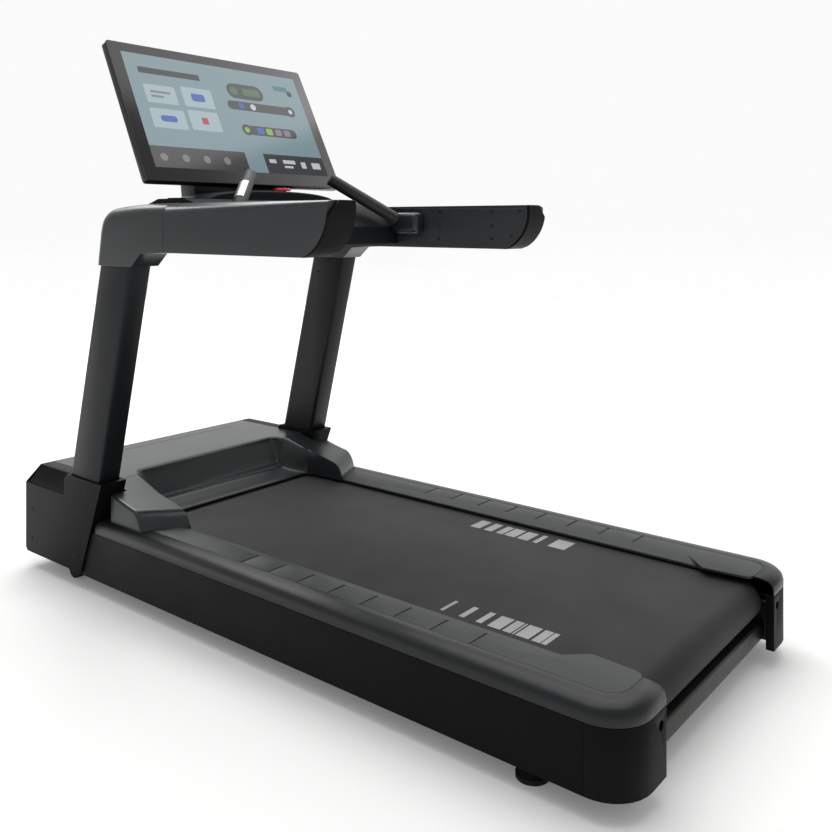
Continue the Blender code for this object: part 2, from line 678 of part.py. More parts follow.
def side_panel(side_name, side):
    outline = [
        (PANEL_OUT, PANEL_BOTTOM), (PANEL_OUT, PANEL_TOP), (PANEL_OUT - 0.004, PANEL_TOP),
        (PANEL_OUT - 0.004, PANEL_BOTTOM + 0.004), (FRAME_OUT - 0.020, PANEL_BOTTOM + 0.004),
        (FRAME_OUT - 0.020, PANEL_BOTTOM),
    ]
    panel = add_object(
        f"side_panel_{side_name}", mirrored(prism(outline, "Y", CAP_FRONT + GAP, PANEL_FRONT), side),
        dark_plastic
    )
    clear = FOOT_RADIUS + 0.004
    hole = rod((LEVEL_FOOT_X, LEVEL_FOOT_Y, 0), (LEVEL_FOOT_X, LEVEL_FOOT_Y, 0.08), clear, 28)
    cut(panel, mirrored(hole, side))
    ahead = [
        (housing_rear(PANEL_TOP + 0.01) - GAP, PANEL_TOP + 0.01),
        (housing_rear(HOUSING_BOTTOM) - GAP, HOUSING_BOTTOM),
        (housing_rear(HOUSING_BOTTOM) - GAP, 0.0), (PANEL_FRONT + 0.1, 0.0),
        (PANEL_FRONT + 0.1, PANEL_TOP + 0.01),
    ]
    cut(panel, mirrored(prism(ahead, "X", FRAME_OUT - 0.03, PANEL_OUT + 0.01), side))


def corner_path(offset, steps=8):
    """The rear corner seen from above, this far inside the outer face, from the front inwards."""
    radius = max(CORNER_RADIUS - offset, 0.002)
    center = (PANEL_OUT - CORNER_RADIUS, REAR + CORNER_RADIUS)
    return arc(center, radius, 0, -90, steps)


def rear_cap(side_name, side):
    """The corner piece under the trim: a wall that turns the corner and ends beside the belt."""
    outer = [(PANEL_OUT, CAP_FRONT)] + corner_path(0) + [(CAP_IN, REAR)]
    inner = [(CAP_IN, REAR + WALL)] + corner_path(WALL)[::-1] + [(PANEL_OUT - WALL, CAP_FRONT)]
    cap = add_object(
        f"rear_cap_{side_name}", mirrored(prism(outer + inner, "Z", PANEL_BOTTOM, PANEL_TOP), side),
        dark_plastic
    )
    side_wall = block((CAP_IN, REAR + 0.001, PANEL_BOTTOM), (CAP_IN + WALL, REAR + 0.020, PANEL_TOP))
    join(cap, mirrored(side_wall, side))
    hole = rod((BOLT_X, REAR - 0.01, DRUM_Z), (BOLT_X, REAR + 0.01, DRUM_Z), 0.0095, 20)
    cut(cap, mirrored(hole, side))


def tension_bolt(side_name, side):
    head = rod((BOLT_X, REAR + 0.006, DRUM_Z), (BOLT_X, REAR + 0.0145, DRUM_Z), 0.0075, 6)
    bolt = add_object(
        f"tension_bolt_{side_name}", mirrored(head, side), steel, (side * BOLT_X, REAR + 0.0145, DRUM_Z)
    )
    tip = DRUM_REAR_Y - AXLE_RADIUS - GAP
    join(bolt, mirrored(rod((BOLT_X, REAR + 0.014, DRUM_Z), (BOLT_X, tip, DRUM_Z), 0.005, 16), side))


def edge_trim(side_name, side):
    """The crowned outer edge: its section runs along the side and turns the rear corner."""
    crown = [
        (0.0, PANEL_TOP + GAP), (0.0, RAIL_TOP - 0.022), (0.004, RAIL_TOP - 0.012), (0.013, RAIL_TOP - 0.005),
        (0.030, RAIL_TOP - 0.0012),
        (TRIM_WIDTH - GAP, RAIL_TOP),
    ]
    thick = 0.0036
    under = [
        (TRIM_WIDTH - GAP, RAIL_TOP - thick), (0.030, RAIL_TOP - 0.0052), (0.0155, RAIL_TOP - 0.0084),
        (0.0078, RAIL_TOP - 0.0145), (0.0042, RAIL_TOP - 0.0235), (0.0036, PANEL_TOP + GAP),
    ]
    section = crown + under
    seam_radius = 0.042
    seam_center = (RAIL_OUT - seam_radius, REAR + 0.047 + seam_radius)
    outer = [(PANEL_OUT, TRIM_FRONT)] + corner_path(0, 10) + [(CAP_IN, REAR)]
    inner = [(RAIL_OUT, TRIM_FRONT)] + arc(seam_center, seam_radius, 0, -90, 10) + [(CAP_IN, REAR + 0.047)]
    bm = bmesh.new()
    rows = []
    for (xo, yo), (xi, yi) in zip(outer, inner):
        across = Vector((xi - xo, yi - yo))
        row = []
        for s, z in section:
            share = s / (TRIM_WIDTH - GAP)
            reach = across.length - GAP
            place = Vector((xo, yo)) + across.normalized() * share * reach
            row.append(bm.verts.new((place.x, place.y, z)))
        rows.append(row)
    count = len(section)
    for first, second in zip(rows, rows[1:]):
        for i in range(count):
            j = (i + 1) % count
            bm.faces.new((first[i], first[j], second[j], second[i]))
    bm.faces.new(rows[0])
    bm.faces.new(rows[-1][::-1])
    add_object(f"edge_trim_{side_name}", mirrored(bm, side), plastic)


def foot_rail(side_name, side):
    """Grooved top plate, its inner chamfer and lip, two legs onto the frame, and the rear flare."""
    thick = 0.004
    top = RAIL_TOP
    section = [
        (RAIL_OUT, top), (RAIL_EDGE, top), (RAIL_IN, top - 0.0093), (RAIL_IN, top - 0.0155),
        (RAIL_IN + thick, top - 0.0155), (RAIL_IN + thick, top - 0.0122), (FRAME_IN, top - thick),
        (FRAME_IN, FRAME_TUBE_TOP + GAP), (FRAME_IN + thick, FRAME_TUBE_TOP + GAP),
        (FRAME_IN + thick, top - thick),
        (FRAME_OUT - thick, top - thick), (FRAME_OUT - thick, FRAME_TUBE_TOP + GAP),
        (FRAME_OUT, FRAME_TUBE_TOP + GAP), (FRAME_OUT, top - thick), (RAIL_OUT, top - thick),
    ]
    flare_front = REAR + 0.228
    flare_rear = REAR + 0.166
    rail = add_object(
        f"foot_rail_{side_name}", mirrored(prism(section, "Y", flare_rear, RAIL_FRONT), side), rail_plastic
    )
    seam_radius = 0.042
    seam_center = (RAIL_OUT - seam_radius, REAR + 0.047 + seam_radius)
    plan = [(RAIL_OUT, flare_front + 0.002)]
    plan += arc(seam_center, seam_radius, 0, -90, 10)
    plan += [
        (BELT_HALF, REAR + 0.047), (BELT_HALF - 0.016, REAR + 0.053), (BELT_HALF - 0.023, REAR + 0.068),
        (BELT_HALF - 0.031, flare_rear), (RAIL_EDGE, flare_front), (RAIL_EDGE, flare_front + 0.002),
    ]
    join(rail, mirrored(prism(plan, "Z", top - 0.006, top), side))
    for i in range(GROOVE_COUNT):
        y = REAR + 0.379 + i * GROOVE_PITCH
        groove = block(
            (RAIL_EDGE - 0.001, y - 0.003, top - 0.002), (RAIL_OUT + 0.002, y + 0.003, top + 0.002)
        )
        cut(rail, mirrored(groove, side))


for name, sign in SIDES:
    side_panel(name, sign)
    rear_cap(name, sign)
    tension_bolt(name, sign)
    edge_trim(name, sign)
    foot_rail(name, sign)


# ---- motor housing ---------------------------------------------------------------------------
def housing_cover(side_name, side):
    """Side cover of the housing, with the collar that the upright passes through."""
    collar_front = upright_y(COLLAR_TOP) + UPRIGHT_DEPTH / 2 + 0.012
    outline = [
        (housing_rear(HOUSING_BOTTOM), HOUSING_BOTTOM), (FRONT - 0.010, HOUSING_BOTTOM),
        (FRONT, HOUSING_BOTTOM + 0.010),
        (FRONT, HOUSING_TOP - 0.046), (FRONT - 0.015, HOUSING_TOP), (collar_front + 0.012, HOUSING_TOP),
        (collar_front, COLLAR_TOP), (COLLAR_REAR, COLLAR_TOP),
    ]
    inside = [
        (housing_rear(HOUSING_BOTTOM - 0.01) + 0.004, HOUSING_BOTTOM - 0.01),
        (FRONT - WALL, HOUSING_BOTTOM - 0.01),
        (FRONT - WALL, HOUSING_TOP - 0.047), (FRONT - 0.018, HOUSING_TOP - WALL),
        (collar_front, HOUSING_TOP - WALL), (housing_rear(HOUSING_TOP - WALL) + 0.004, HOUSING_TOP - WALL),
    ]
    cover = add_object(
        f"housing_cover_{side_name}", mirrored(prism(outline, "X", COVER_IN, COVER_OUT), side), plastic
    )
    cut(cover, mirrored(prism(inside, "X", COVER_IN - 0.01, COVER_OUT - WALL), side))
    cut(cover, mirrored(sloped_prism(0.27, 0.36, 0.0018), side))
    shoulder = [
        (COVER_OUT + 0.001, HOUSING_TOP - 0.051), (COVER_OUT + 0.001, HOUSING_TOP + 0.001),
        (COVER_OUT - 0.042, HOUSING_TOP + 0.001),
    ]
    cut(cover, mirrored(prism(shoulder, "Y", collar_front + 0.014, FRONT + 0.01), side))
    ledge = [
        (COVER_OUT - 0.0495, HOUSING_TOP - 0.001), (COVER_OUT - 0.042, HOUSING_TOP - 0.001),
        (COVER_OUT - 0.0005, HOUSING_TOP - 0.051), (COVER_OUT - 0.0005, HOUSING_TOP - 0.060),
        (COVER_OUT - 0.0045, HOUSING_TOP - 0.060),
    ]
    join(cover, mirrored(prism(ledge, "Y", collar_front + 0.016, FRONT - 0.016), side))


def motor_hood():
    """The middle cover: flat top, front fascia, a scoop that ends in a lip over the belt, and two lobes."""
    lip_y = FRONT - HOOD_LENGTH
    top = HOUSING_TOP
    fascia = [
        (FRONT, HOUSING_BOTTOM + 0.004), (FRONT, top - 0.046), (FRONT - 0.015, top), (FRONT - 0.330, top),
    ]
    scoop = [
        (FRONT - 0.345, top - 0.008), (FRONT - 0.352, top - 0.030), (FRONT - 0.364, top - 0.062),
        (FRONT - 0.392, top - 0.088), (lip_y, BELT_TOP + 0.012),
    ]
    below = [
        (lip_y, BELT_TOP + 0.008), (FRONT - 0.391, top - 0.0925), (FRONT - 0.360, top - 0.064),
        (FRONT - 0.348, top - 0.031), (FRONT - 0.341, top - 0.011), (FRONT - 0.329, top - WALL),
        (FRONT - 0.017, top - WALL), (FRONT - WALL, top - 0.047), (FRONT - WALL, HOUSING_BOTTOM + 0.004),
    ]
    half = RECESS_HALF_WIDTH + 0.003
    hood = add_object("motor_hood", prism(fascia + scoop + below, "X", -half, half), plastic)
    crest = [
        (FRONT - 0.358, top), (FRONT - 0.391, top - 0.005), (FRONT - 0.443, top - 0.026),
        (FRONT - 0.528, top - 0.042), (FRONT - 0.562, top - 0.058), (FRONT - 0.577, top - 0.078),
        (FRONT - LOBE_LENGTH, RAIL_TOP + GAP),
    ]
    inner_crest = [(y + 0.003, z - WALL) for y, z in crest[:-1][::-1]]
    side_below = [
        (FRONT - LOBE_LENGTH + WALL, RAIL_TOP + GAP), *inner_crest, (FRONT - 0.017, top - WALL),
        (FRONT - WALL, top - 0.047), (FRONT - WALL, HOUSING_BOTTOM + 0.004),
    ]
    side_section = fascia[:3] + crest + side_below
    lobe_section = [
        (COLLAR_REAR - GAP, top - 0.014), *crest[2:], (FRONT - LOBE_LENGTH + WALL, RAIL_TOP + GAP),
        *[(y + 0.003, z - WALL) for y, z in crest[2:-1][::-1]], (COLLAR_REAR - GAP, top - 0.014 - WALL),
    ]
    wall = [
        *crest[2:], (FRONT - 0.470, RAIL_TOP + GAP), (FRONT - 0.470, BELT_TOP + 0.009),
        (lip_y + 0.001, BELT_TOP + 0.009), *scoop[:-1][::-1], (FRONT - 0.331, top - 0.001),
        (FRONT - 0.358, top - 0.001), (FRONT - 0.391, top - 0.006),
    ]
    for _, side in SIDES:
        join(hood, mirrored(prism(side_section, "X", RECESS_HALF_WIDTH, HOOD_SIDE), side))
        join(hood, mirrored(prism(lobe_section, "X", HOOD_SIDE - 0.002, COVER_OUT - 0.030), side))
        join(hood, mirrored(prism(wall, "X", RECESS_HALF_WIDTH - 0.0005, RECESS_HALF_WIDTH + WALL), side))
    cut(hood, block((-0.262, FRONT - 0.02, 0.090), (-0.198, FRONT + 0.01, 0.126)))
    cut(hood, block((-0.170, FRONT - 0.02, 0.092), (-0.138, FRONT + 0.01, 0.124)))


def power_inlet():
    inlet = add_object(
        "power_inlet", block((-0.2615, FRONT - 0.030, 0.0905), (-0.1985, FRONT - 0.001, 0.1255)), dark_plastic
    )
    cut(inlet, block((-0.246, FRONT - 0.020, 0.0975), (-0.214, FRONT + 0.01, 0.1185)))
    for x in (-0.238, -0.230, -0.222):
        z = 0.110 if x == -0.230 else 0.104
        join(inlet, block((x - 0.001, FRONT - 0.022, z - 0.002), (x + 0.001, FRONT - 0.006, z + 0.002)))


SWITCH_TILT = math.radians(9)
SWITCH_Y = FRONT - 0.008
SWITCH_Z = 0.108


def power_switch():
    """A rocker that turns about X, shown with its lower end pressed in."""
    bm = block((-0.1665, -0.010, -0.0125), (-0.1415, 0.006, 0.0125))
    bmesh.ops.rotate(bm, verts=bm.verts, matrix=Matrix.Rotation(-SWITCH_TILT, 3, "X"))
    bmesh.ops.translate(bm, verts=bm.verts, vec=(0, SWITCH_Y, SWITCH_Z))
    add_object("power_switch", bm, red, (-0.154, SWITCH_Y, SWITCH_Z))


for name, sign in SIDES:
    housing_cover(name, sign)
motor_hood()
power_inlet()
power_switch()


# ---- arms ------------------------------------------------------------------------------------
SHELL = 0.003
ARM_SHOULDER = 0.036


def arm_outline(inset):
    """Arm's section seen from the rear, as (x, z), this far inside its outer faces."""
    return [
        (ARM_OUT - inset, ARM_BOTTOM + inset),
        (ARM_OUT - inset, ARM_TOP - ARM_SHOULDER - inset * 0.4),
        (ARM_OUT - ARM_SHOULDER - inset * 0.4, ARM_TOP - 0.002 - inset),
        (ARM_IN, ARM_TOP - inset),
        (ARM_IN, ARM_BOTTOM + inset),
    ]


def arm_end_cutter():
    """What lies behind the arm's rear end, whose lower corner is round, from the side."""
    back = ARM_REAR - 0.30
    curve = [
        (ARM_REAR, ARM_TOP + 0.02), (ARM_REAR, ARM_TOP - 0.030), (ARM_REAR + 0.008, ARM_TOP - 0.062),
        (ARM_REAR + 0.026, ARM_TOP - 0.094), (ARM_REAR + 0.052, ARM_TOP - 0.119),
        (ARM_REAR + 0.085, ARM_BOTTOM - 0.02),
    ]
    return prism(
        curve + [(back, ARM_BOTTOM - 0.02), (back, ARM_TOP + 0.02)], "X", ARM_IN - 0.01, ARM_OUT + 0.01
    )


def arm_shell(side_name, side):
    start = ARM_REAR - 0.01
    shell = add_object(
        f"arm_shell_{side_name}", mirrored(prism(arm_outline(0), "Y", start, ARM_SEAM - GAP), side), plastic
    )
    inner = arm_outline(SHELL)
    inner[3] = (ARM_IN - 0.01, inner[3][1])
    inner[4] = (ARM_IN - 0.01, inner[4][1])
    cut(shell, mirrored(prism(inner, "Y", start - 0.01, ARM_SEAM + 0.01), side))
    cut(shell, mirrored(arm_end_cutter(), side))


def arm_panel(side_name, side):
    low = ARM_BOTTOM + SHELL + GAP
    high = ARM_TOP - SHELL - GAP - 0.0003
    rear = ARM_REAR + 0.001
    outline = [
        (ARM_SEAM - 0.082, low), (ARM_SEAM - 0.082, high), (rear, high), (rear + 0.006, high - 0.022),
        (rear + 0.022, high - 0.056), (rear + 0.048, high - 0.094), (rear + 0.084, low),
    ]
    panel = add_object(
        f"arm_panel_{side_name}", mirrored(prism(outline, "X", ARM_IN, ARM_IN + SHELL), side), dark_plastic
    )
    for y in (CONSOLE_REAR - 0.175, CONSOLE_REAR - 0.372):
        for z in (ARM_TOP - 0.019, ARM_TOP - 0.062, ARM_TOP - 0.102):
            cut(panel, mirrored(rod((ARM_IN - 0.002, y, z), (ARM_IN + 0.0015, y, z), 0.0045, 12), side))


def arm_end_cap(side_name, side):
    """The dark plate that closes the arm's rear end and follows its round lower corner."""
    tip = ARM_REAR - ARM_CAP_DEPTH
    profile = [
        (ARM_REAR - GAP, ARM_TOP), (tip, ARM_TOP), (tip, ARM_TOP - 0.031), (tip + 0.008, ARM_TOP - 0.064),
        (tip + 0.026, ARM_TOP - 0.096), (tip + 0.052, ARM_TOP - 0.121), (tip + 0.065, ARM_BOTTOM),
        (ARM_REAR + 0.0642, ARM_BOTTOM), (ARM_REAR + 0.0517, ARM_TOP - 0.1194),
        (ARM_REAR + 0.0257, ARM_TOP - 0.0944), (ARM_REAR + 0.0077, ARM_TOP - 0.0624),
        (ARM_REAR - GAP, ARM_TOP - 0.0304),
    ]
    cap = add_object(
        f"arm_end_cap_{side_name}", mirrored(prism(profile, "X", ARM_IN + SHELL + GAP, ARM_OUT), side),
        dark_plastic
    )
    shoulder = [
        (ARM_OUT + 0.01, ARM_TOP - ARM_SHOULDER), (ARM_OUT, ARM_TOP - ARM_SHOULDER),
        (ARM_OUT - ARM_SHOULDER, ARM_TOP - 0.001), (ARM_OUT - ARM_SHOULDER, ARM_TOP + 0.01),
        (ARM_OUT + 0.01, ARM_TOP + 0.01),
    ]
    cut(cap, mirrored(prism(shoulder, "Y", tip - 0.01, ARM_REAR + 0.10), side))


def upright_hood(side_name, side):
    """The cover that drops over the upright's top and carries the arm."""
    y = upright_y(HAND_Z)
    front = y + UPRIGHT_DEPTH / 2 + 0.022
    rear = y - UPRIGHT_DEPTH / 2 - 0.012
    seam = ARM_SEAM
    outline = [
        (seam, ARM_BOTTOM), (rear - 0.042, ARM_BOTTOM - 0.006), (rear, HAND_Z + 0.004),
        (front, HAND_Z + 0.004),
        (front - 0.018, 1.050), (front - 0.032, 1.080), (front - 0.060, 1.098),
        (front - 0.100, ARM_TOP - 0.014),
        (seam + 0.06, ARM_TOP), (seam, ARM_TOP),
    ]
    inside = [
        (seam - 0.01, ARM_BOTTOM + SHELL), (rear - 0.041, ARM_BOTTOM - 0.006 + SHELL),
        (rear + SHELL, HAND_Z + 0.007),
        (rear + SHELL, HAND_Z - 0.01), (front - SHELL, HAND_Z - 0.01), (front - 0.018 - SHELL, 1.049),
        (front - 0.033 - SHELL, 1.078), (front - 0.061 - SHELL, 1.095), (front - 0.100, ARM_TOP - 0.0175),
        (seam + 0.06, ARM_TOP - SHELL), (seam - 0.01, ARM_TOP - SHELL),
    ]
    hood = add_object(
        f"upright_hood_{side_name}", mirrored(prism(outline, "X", ARM_IN, ARM_OUT), side), plastic
    )
    cut(hood, mirrored(prism(inside, "X", ARM_IN + SHELL, ARM_OUT - SHELL), side))
    shoulder = [
        (ARM_OUT + 0.001, ARM_TOP - ARM_SHOULDER), (ARM_OUT + 0.001, ARM_TOP + 0.001),
        (ARM_OUT - ARM_SHOULDER, ARM_TOP + 0.001),
    ]
    cut(hood, mirrored(prism(shoulder, "Y", seam - 0.01, front - 0.050), side))
    ledge = [
        (ARM_OUT - ARM_SHOULDER - 0.006, ARM_TOP - 0.001), (ARM_OUT - ARM_SHOULDER, ARM_TOP - 0.001),
        (ARM_OUT - 0.0005, ARM_TOP - ARM_SHOULDER), (ARM_OUT - 0.0005, ARM_TOP - ARM_SHOULDER - 0.006),
        (ARM_OUT - 0.0045, ARM_TOP - ARM_SHOULDER - 0.006),
    ]
    join(hood, mirrored(prism(ledge, "Y", seam + 0.0005, front - 0.055), side))
    tube_y = upright_y(UPRIGHT_TOP_Z)
    hole = block(
        (ARM_IN - 0.01, tube_y - 0.025, UPRIGHT_TOP_Z - 0.003),
        (ARM_IN + 0.010, tube_y + 0.021, UPRIGHT_TOP_Z + 0.044)
    )
    cut(hood, mirrored(hole, side))


for name, sign in SIDES:
    arm_shell(name, sign)
    arm_panel(name, sign)
    arm_end_cap(name, sign)
    upright_hood(name, sign)


# ---- console ---------------------------------------------------------------------------------
def pod_height(x):
    """Height of the centre pod's crowned top at a distance from the middle."""
    share = min(abs(x) / POD_HALF_WIDTH, 1.0)
    return CONSOLE_TOP + POD_RISE * math.sqrt(1 - share ** 2.4)


POD_REAR = CONSOLE_REAR + 0.170
POD_FRONT = CONSOLE_REAR + 0.322
BUTTON_Y = CONSOLE_REAR + 0.255
BUTTON_Z = pod_height(BUTTON_OFFSET)


def console_body():
    side = ARM_IN - GAP
    outer = [
        (CONSOLE_REAR, CONSOLE_TOP - 0.080), (CONSOLE_REAR + 0.035, CONSOLE_TOP - 0.045),
        (CONSOLE_REAR + 0.085, CONSOLE_TOP - 0.015), (CONSOLE_REAR + 0.140, CONSOLE_TOP),
        (CONSOLE_FRONT - 0.050, CONSOLE_TOP), (CONSOLE_FRONT, CONSOLE_TOP - 0.045),
        (CONSOLE_FRONT, CONSOLE_BOTTOM + 0.020), (CONSOLE_FRONT - 0.050, CONSOLE_BOTTOM),
        (CONSOLE_REAR + 0.060, CONSOLE_BOTTOM), (CONSOLE_REAR, CONSOLE_BOTTOM + 0.030),
    ]
    inner = [
        (CONSOLE_REAR + SHELL, CONSOLE_TOP - 0.0815), (CONSOLE_REAR + 0.037, CONSOLE_TOP - 0.0480),
        (CONSOLE_REAR + 0.086, CONSOLE_TOP - 0.0180), (CONSOLE_REAR + 0.140, CONSOLE_TOP - SHELL),
        (CONSOLE_FRONT - 0.051, CONSOLE_TOP - SHELL),
        (CONSOLE_FRONT - SHELL, CONSOLE_TOP - 0.047), (CONSOLE_FRONT - SHELL, CONSOLE_BOTTOM + 0.022),
        (CONSOLE_FRONT - 0.051, CONSOLE_BOTTOM + SHELL), (CONSOLE_REAR + 0.061, CONSOLE_BOTTOM + SHELL),
        (CONSOLE_REAR + SHELL, CONSOLE_BOTTOM + 0.0318),
    ]
    console = add_object("console_body", prism(outer, "X", -side, side), plastic)
    cut(console, prism(inner, "X", -side - 0.01, side + 0.01))
    steps = 16
    crown = []
    for i in range(steps + 1):
        x = POD_HALF_WIDTH * math.cos(math.pi * i / steps)
        crown.append((x, pod_height(x)))
    join(console, prism(crown + [(-POD_HALF_WIDTH, CONSOLE_TOP - 0.002), (POD_HALF_WIDTH, CONSOLE_TOP - 0.002)],
                        "Y", POD_REAR, POD_FRONT))
    for _, sign in SIDES:
        x = sign * CUP_X
        bottom = CONSOLE_TOP - CUP_DEPTH
        join(
            console, rod((x, CUP_Y, bottom - SHELL), (x, CUP_Y, CONSOLE_TOP - 0.001), CUP_RADIUS + SHELL, 28)
        )
        cut(console, rod((x, CUP_Y, bottom), (x, CUP_Y, CONSOLE_TOP + 0.05), CUP_RADIUS, 28))
    cut(console, rod(
        (BUTTON_OFFSET, BUTTON_Y, CONSOLE_TOP - 0.02), (BUTTON_OFFSET, BUTTON_Y, BUTTON_Z + 0.02),
        0.0125, 20))


def stop_button():
    low = BUTTON_Z + BUTTON_TRAVEL + 0.001
    head = rod(
        (BUTTON_OFFSET, BUTTON_Y, low), (BUTTON_OFFSET, BUTTON_Y, low + 0.009),
        BUTTON_RADIUS, 32, BUTTON_RADIUS - 0.003,
    )
    button = add_object("stop_button", head, red, (BUTTON_OFFSET, BUTTON_Y, low))
    join(
        button,
        rod((BUTTON_OFFSET, BUTTON_Y, CONSOLE_TOP - 0.020), (BUTTON_OFFSET, BUTTON_Y, low + 0.002), 0.012, 20),
    )


def display_space(bm):
    """Turns a shape from the display's own frame, x across, y back, z up its face, into place."""
    bmesh.ops.rotate(bm, verts=bm.verts, matrix=Matrix.Rotation(-DISPLAY_TILT, 3, "X"))
    bmesh.ops.translate(bm, verts=bm.verts, vec=(0, DISPLAY_Y, DISPLAY_BOTTOM))
    return bm


def rounded_slab(front, back, inset):
    half = DISPLAY_WIDTH / 2 - inset
    bm = block((-half, front, inset), (half, back, DISPLAY_HEIGHT - inset))
    bevelled(bm, edges_along(bm, "Y"), 0.010, 3)
    return bm


def display():
    add_object("display_screen", display_space(rounded_slab(0, SCREEN_THICKNESS, 0)), glass)
    back = DISPLAY_THICKNESS - 0.010
    frame = add_object(
        "display_frame", display_space(rounded_slab(SCREEN_THICKNESS + GAP, back, 0.0005)), dark_plastic
    )
    join(frame, display_space(rounded_slab(back - 0.002, DISPLAY_THICKNESS, 0.030)))


def display_bracket():
    tangent = math.tan(DISPLAY_TILT)
    back_y = DISPLAY_Y + DISPLAY_THICKNESS * math.cos(DISPLAY_TILT)
    back_z = DISPLAY_BOTTOM - DISPLAY_THICKNESS * math.sin(DISPLAY_TILT)

    def behind(z):
        return back_y + (z - back_z) * tangent + GAP / math.cos(DISPLAY_TILT)

    foot = CONSOLE_TOP + GAP
    low_z = back_z + 0.045
    high_z = back_z + 0.165
    outline = [
        (behind(low_z), foot), (behind(low_z) + 0.062, foot), (behind(high_z) + 0.030, high_z),
        (behind(high_z), high_z), (behind(low_z), low_z),
    ]
    bracket = add_object(
        "display_bracket", prism(outline, "X", -BRACKET_HALF_WIDTH, BRACKET_HALF_WIDTH), dark_plastic
    )
    cut(
        bracket,
        block((-BRACKET_HALF_WIDTH - 0.01, POD_REAR, 0.9), (BRACKET_HALF_WIDTH + 0.01, POD_FRONT + GAP, 1.19)),
    )


GRIP_BASE = Vector((BELT_HALF + 0.015, CONSOLE_REAR - 0.027, 1.080))
GRIP_END = Vector((BELT_HALF - 0.155, CONSOLE_REAR + 0.106, 1.206))
POD_LOW = Vector((ARM_IN - 0.045, CONSOLE_REAR - 0.113, 1.033))
POD_HIGH = Vector((ARM_IN - GAP, CONSOLE_REAR - 0.008, 1.100))


def grip_pod_block(margin):
    low = POD_LOW - Vector((margin, margin, margin))
    high = POD_HIGH + Vector((margin, margin, margin))
    bm = block(low, high)
    inner_edges = [
        e for e in bm.edges if e.verts[0].co.x < low.x + 1e-6 and e.verts[1].co.x < low.x + 1e-6
    ]
    return bevelled(bm, inner_edges, 0.014, 3)


def grip(side_name, side):
    add_object(f"grip_pod_{side_name}", mirrored(grip_pod_block(0), side), dark_plastic)
    along = (GRIP_END - GRIP_BASE).normalized()
    bar = add_object(
        f"grip_{side_name}", mirrored(rod(GRIP_BASE - along * 0.004, GRIP_END, GRIP_RADIUS, 24), side), rubber
    )
    cut(bar, mirrored(grip_pod_block(GAP), side))
    start = GRIP_BASE + along * 0.090
    end = GRIP_BASE + along * 0.180
    plate = add_object(
        f"grip_sensor_{side_name}", mirrored(rod(start, end, GRIP_RADIUS + 0.0014, 24), side), sensor
    )
    cut(plate, mirrored(rod(start - along * 0.01, end + along * 0.01, GRIP_RADIUS + GAP, 24), side))
    slot = block((-0.05, -0.05, -0.2), (0.05, -0.0005, 0.2))
    turn = Vector((0, 0, 1)).rotation_difference(along).to_matrix().to_4x4()
    bmesh.ops.transform(slot, matrix=Matrix.Translation((start + end) / 2) @ turn, verts=slot.verts)
    cut(plate, mirrored(slot, side))


console_body()
stop_button()
display()
display_bracket()
for name, sign in SIDES:
    grip(name, sign)
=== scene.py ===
"""Looks of a commercial treadmill: mouldings, belt, lit display and finishes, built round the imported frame."""

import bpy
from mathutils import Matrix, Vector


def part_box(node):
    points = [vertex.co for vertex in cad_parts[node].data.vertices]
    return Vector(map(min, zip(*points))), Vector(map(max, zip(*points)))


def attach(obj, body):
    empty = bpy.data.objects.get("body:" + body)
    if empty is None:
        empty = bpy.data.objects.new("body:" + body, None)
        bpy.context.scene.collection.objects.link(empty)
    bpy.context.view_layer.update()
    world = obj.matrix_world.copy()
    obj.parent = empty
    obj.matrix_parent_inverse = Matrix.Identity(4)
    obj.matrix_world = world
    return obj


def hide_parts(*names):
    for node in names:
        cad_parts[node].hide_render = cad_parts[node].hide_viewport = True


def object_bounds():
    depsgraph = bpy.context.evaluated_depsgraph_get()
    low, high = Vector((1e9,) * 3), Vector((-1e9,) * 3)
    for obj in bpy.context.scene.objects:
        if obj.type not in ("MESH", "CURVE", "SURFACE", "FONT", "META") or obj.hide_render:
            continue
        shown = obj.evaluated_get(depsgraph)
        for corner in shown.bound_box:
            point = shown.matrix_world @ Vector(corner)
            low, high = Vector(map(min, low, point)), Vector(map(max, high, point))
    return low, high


bl_info = {
    "name": "Treadmill Looks",
    "version": (1, 0, 0),
    "blender": (4, 5, 0),
    "location": "View3D > Sidebar > Treadmill",
    "description": "Builds the visible mouldings, belt, display and finishes of a treadmill",
    "category": "Object",
}

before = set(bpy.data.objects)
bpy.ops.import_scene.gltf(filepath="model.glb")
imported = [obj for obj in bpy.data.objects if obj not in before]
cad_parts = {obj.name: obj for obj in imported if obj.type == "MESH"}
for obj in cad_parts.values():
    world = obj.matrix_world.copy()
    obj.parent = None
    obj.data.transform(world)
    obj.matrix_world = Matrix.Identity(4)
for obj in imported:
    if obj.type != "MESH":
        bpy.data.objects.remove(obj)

import math

import bmesh
import bpy
from mathutils import Matrix, Vector

CAD_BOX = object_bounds()
SIDES = (("left", -1), ("right", 1))
MM = 0.001

# ---- places read from the frame ----------------------------------------------------------------
BELT_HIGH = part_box("running_belt")[1]
COVER_LOW, COVER_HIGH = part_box("housing_cover_right")
HOOD_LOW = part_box("motor_hood")[0]
TOP_HOOD_LOW, TOP_HOOD_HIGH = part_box("upright_hood_right")
ARM_LOW, ARM_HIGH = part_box("arm_shell_right")
ARM_PANEL_LOW, ARM_PANEL_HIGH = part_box("arm_panel_right")
CONSOLE_LOW, CONSOLE_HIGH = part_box("console_body")
SCREEN_LOW, SCREEN_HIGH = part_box("display_screen")

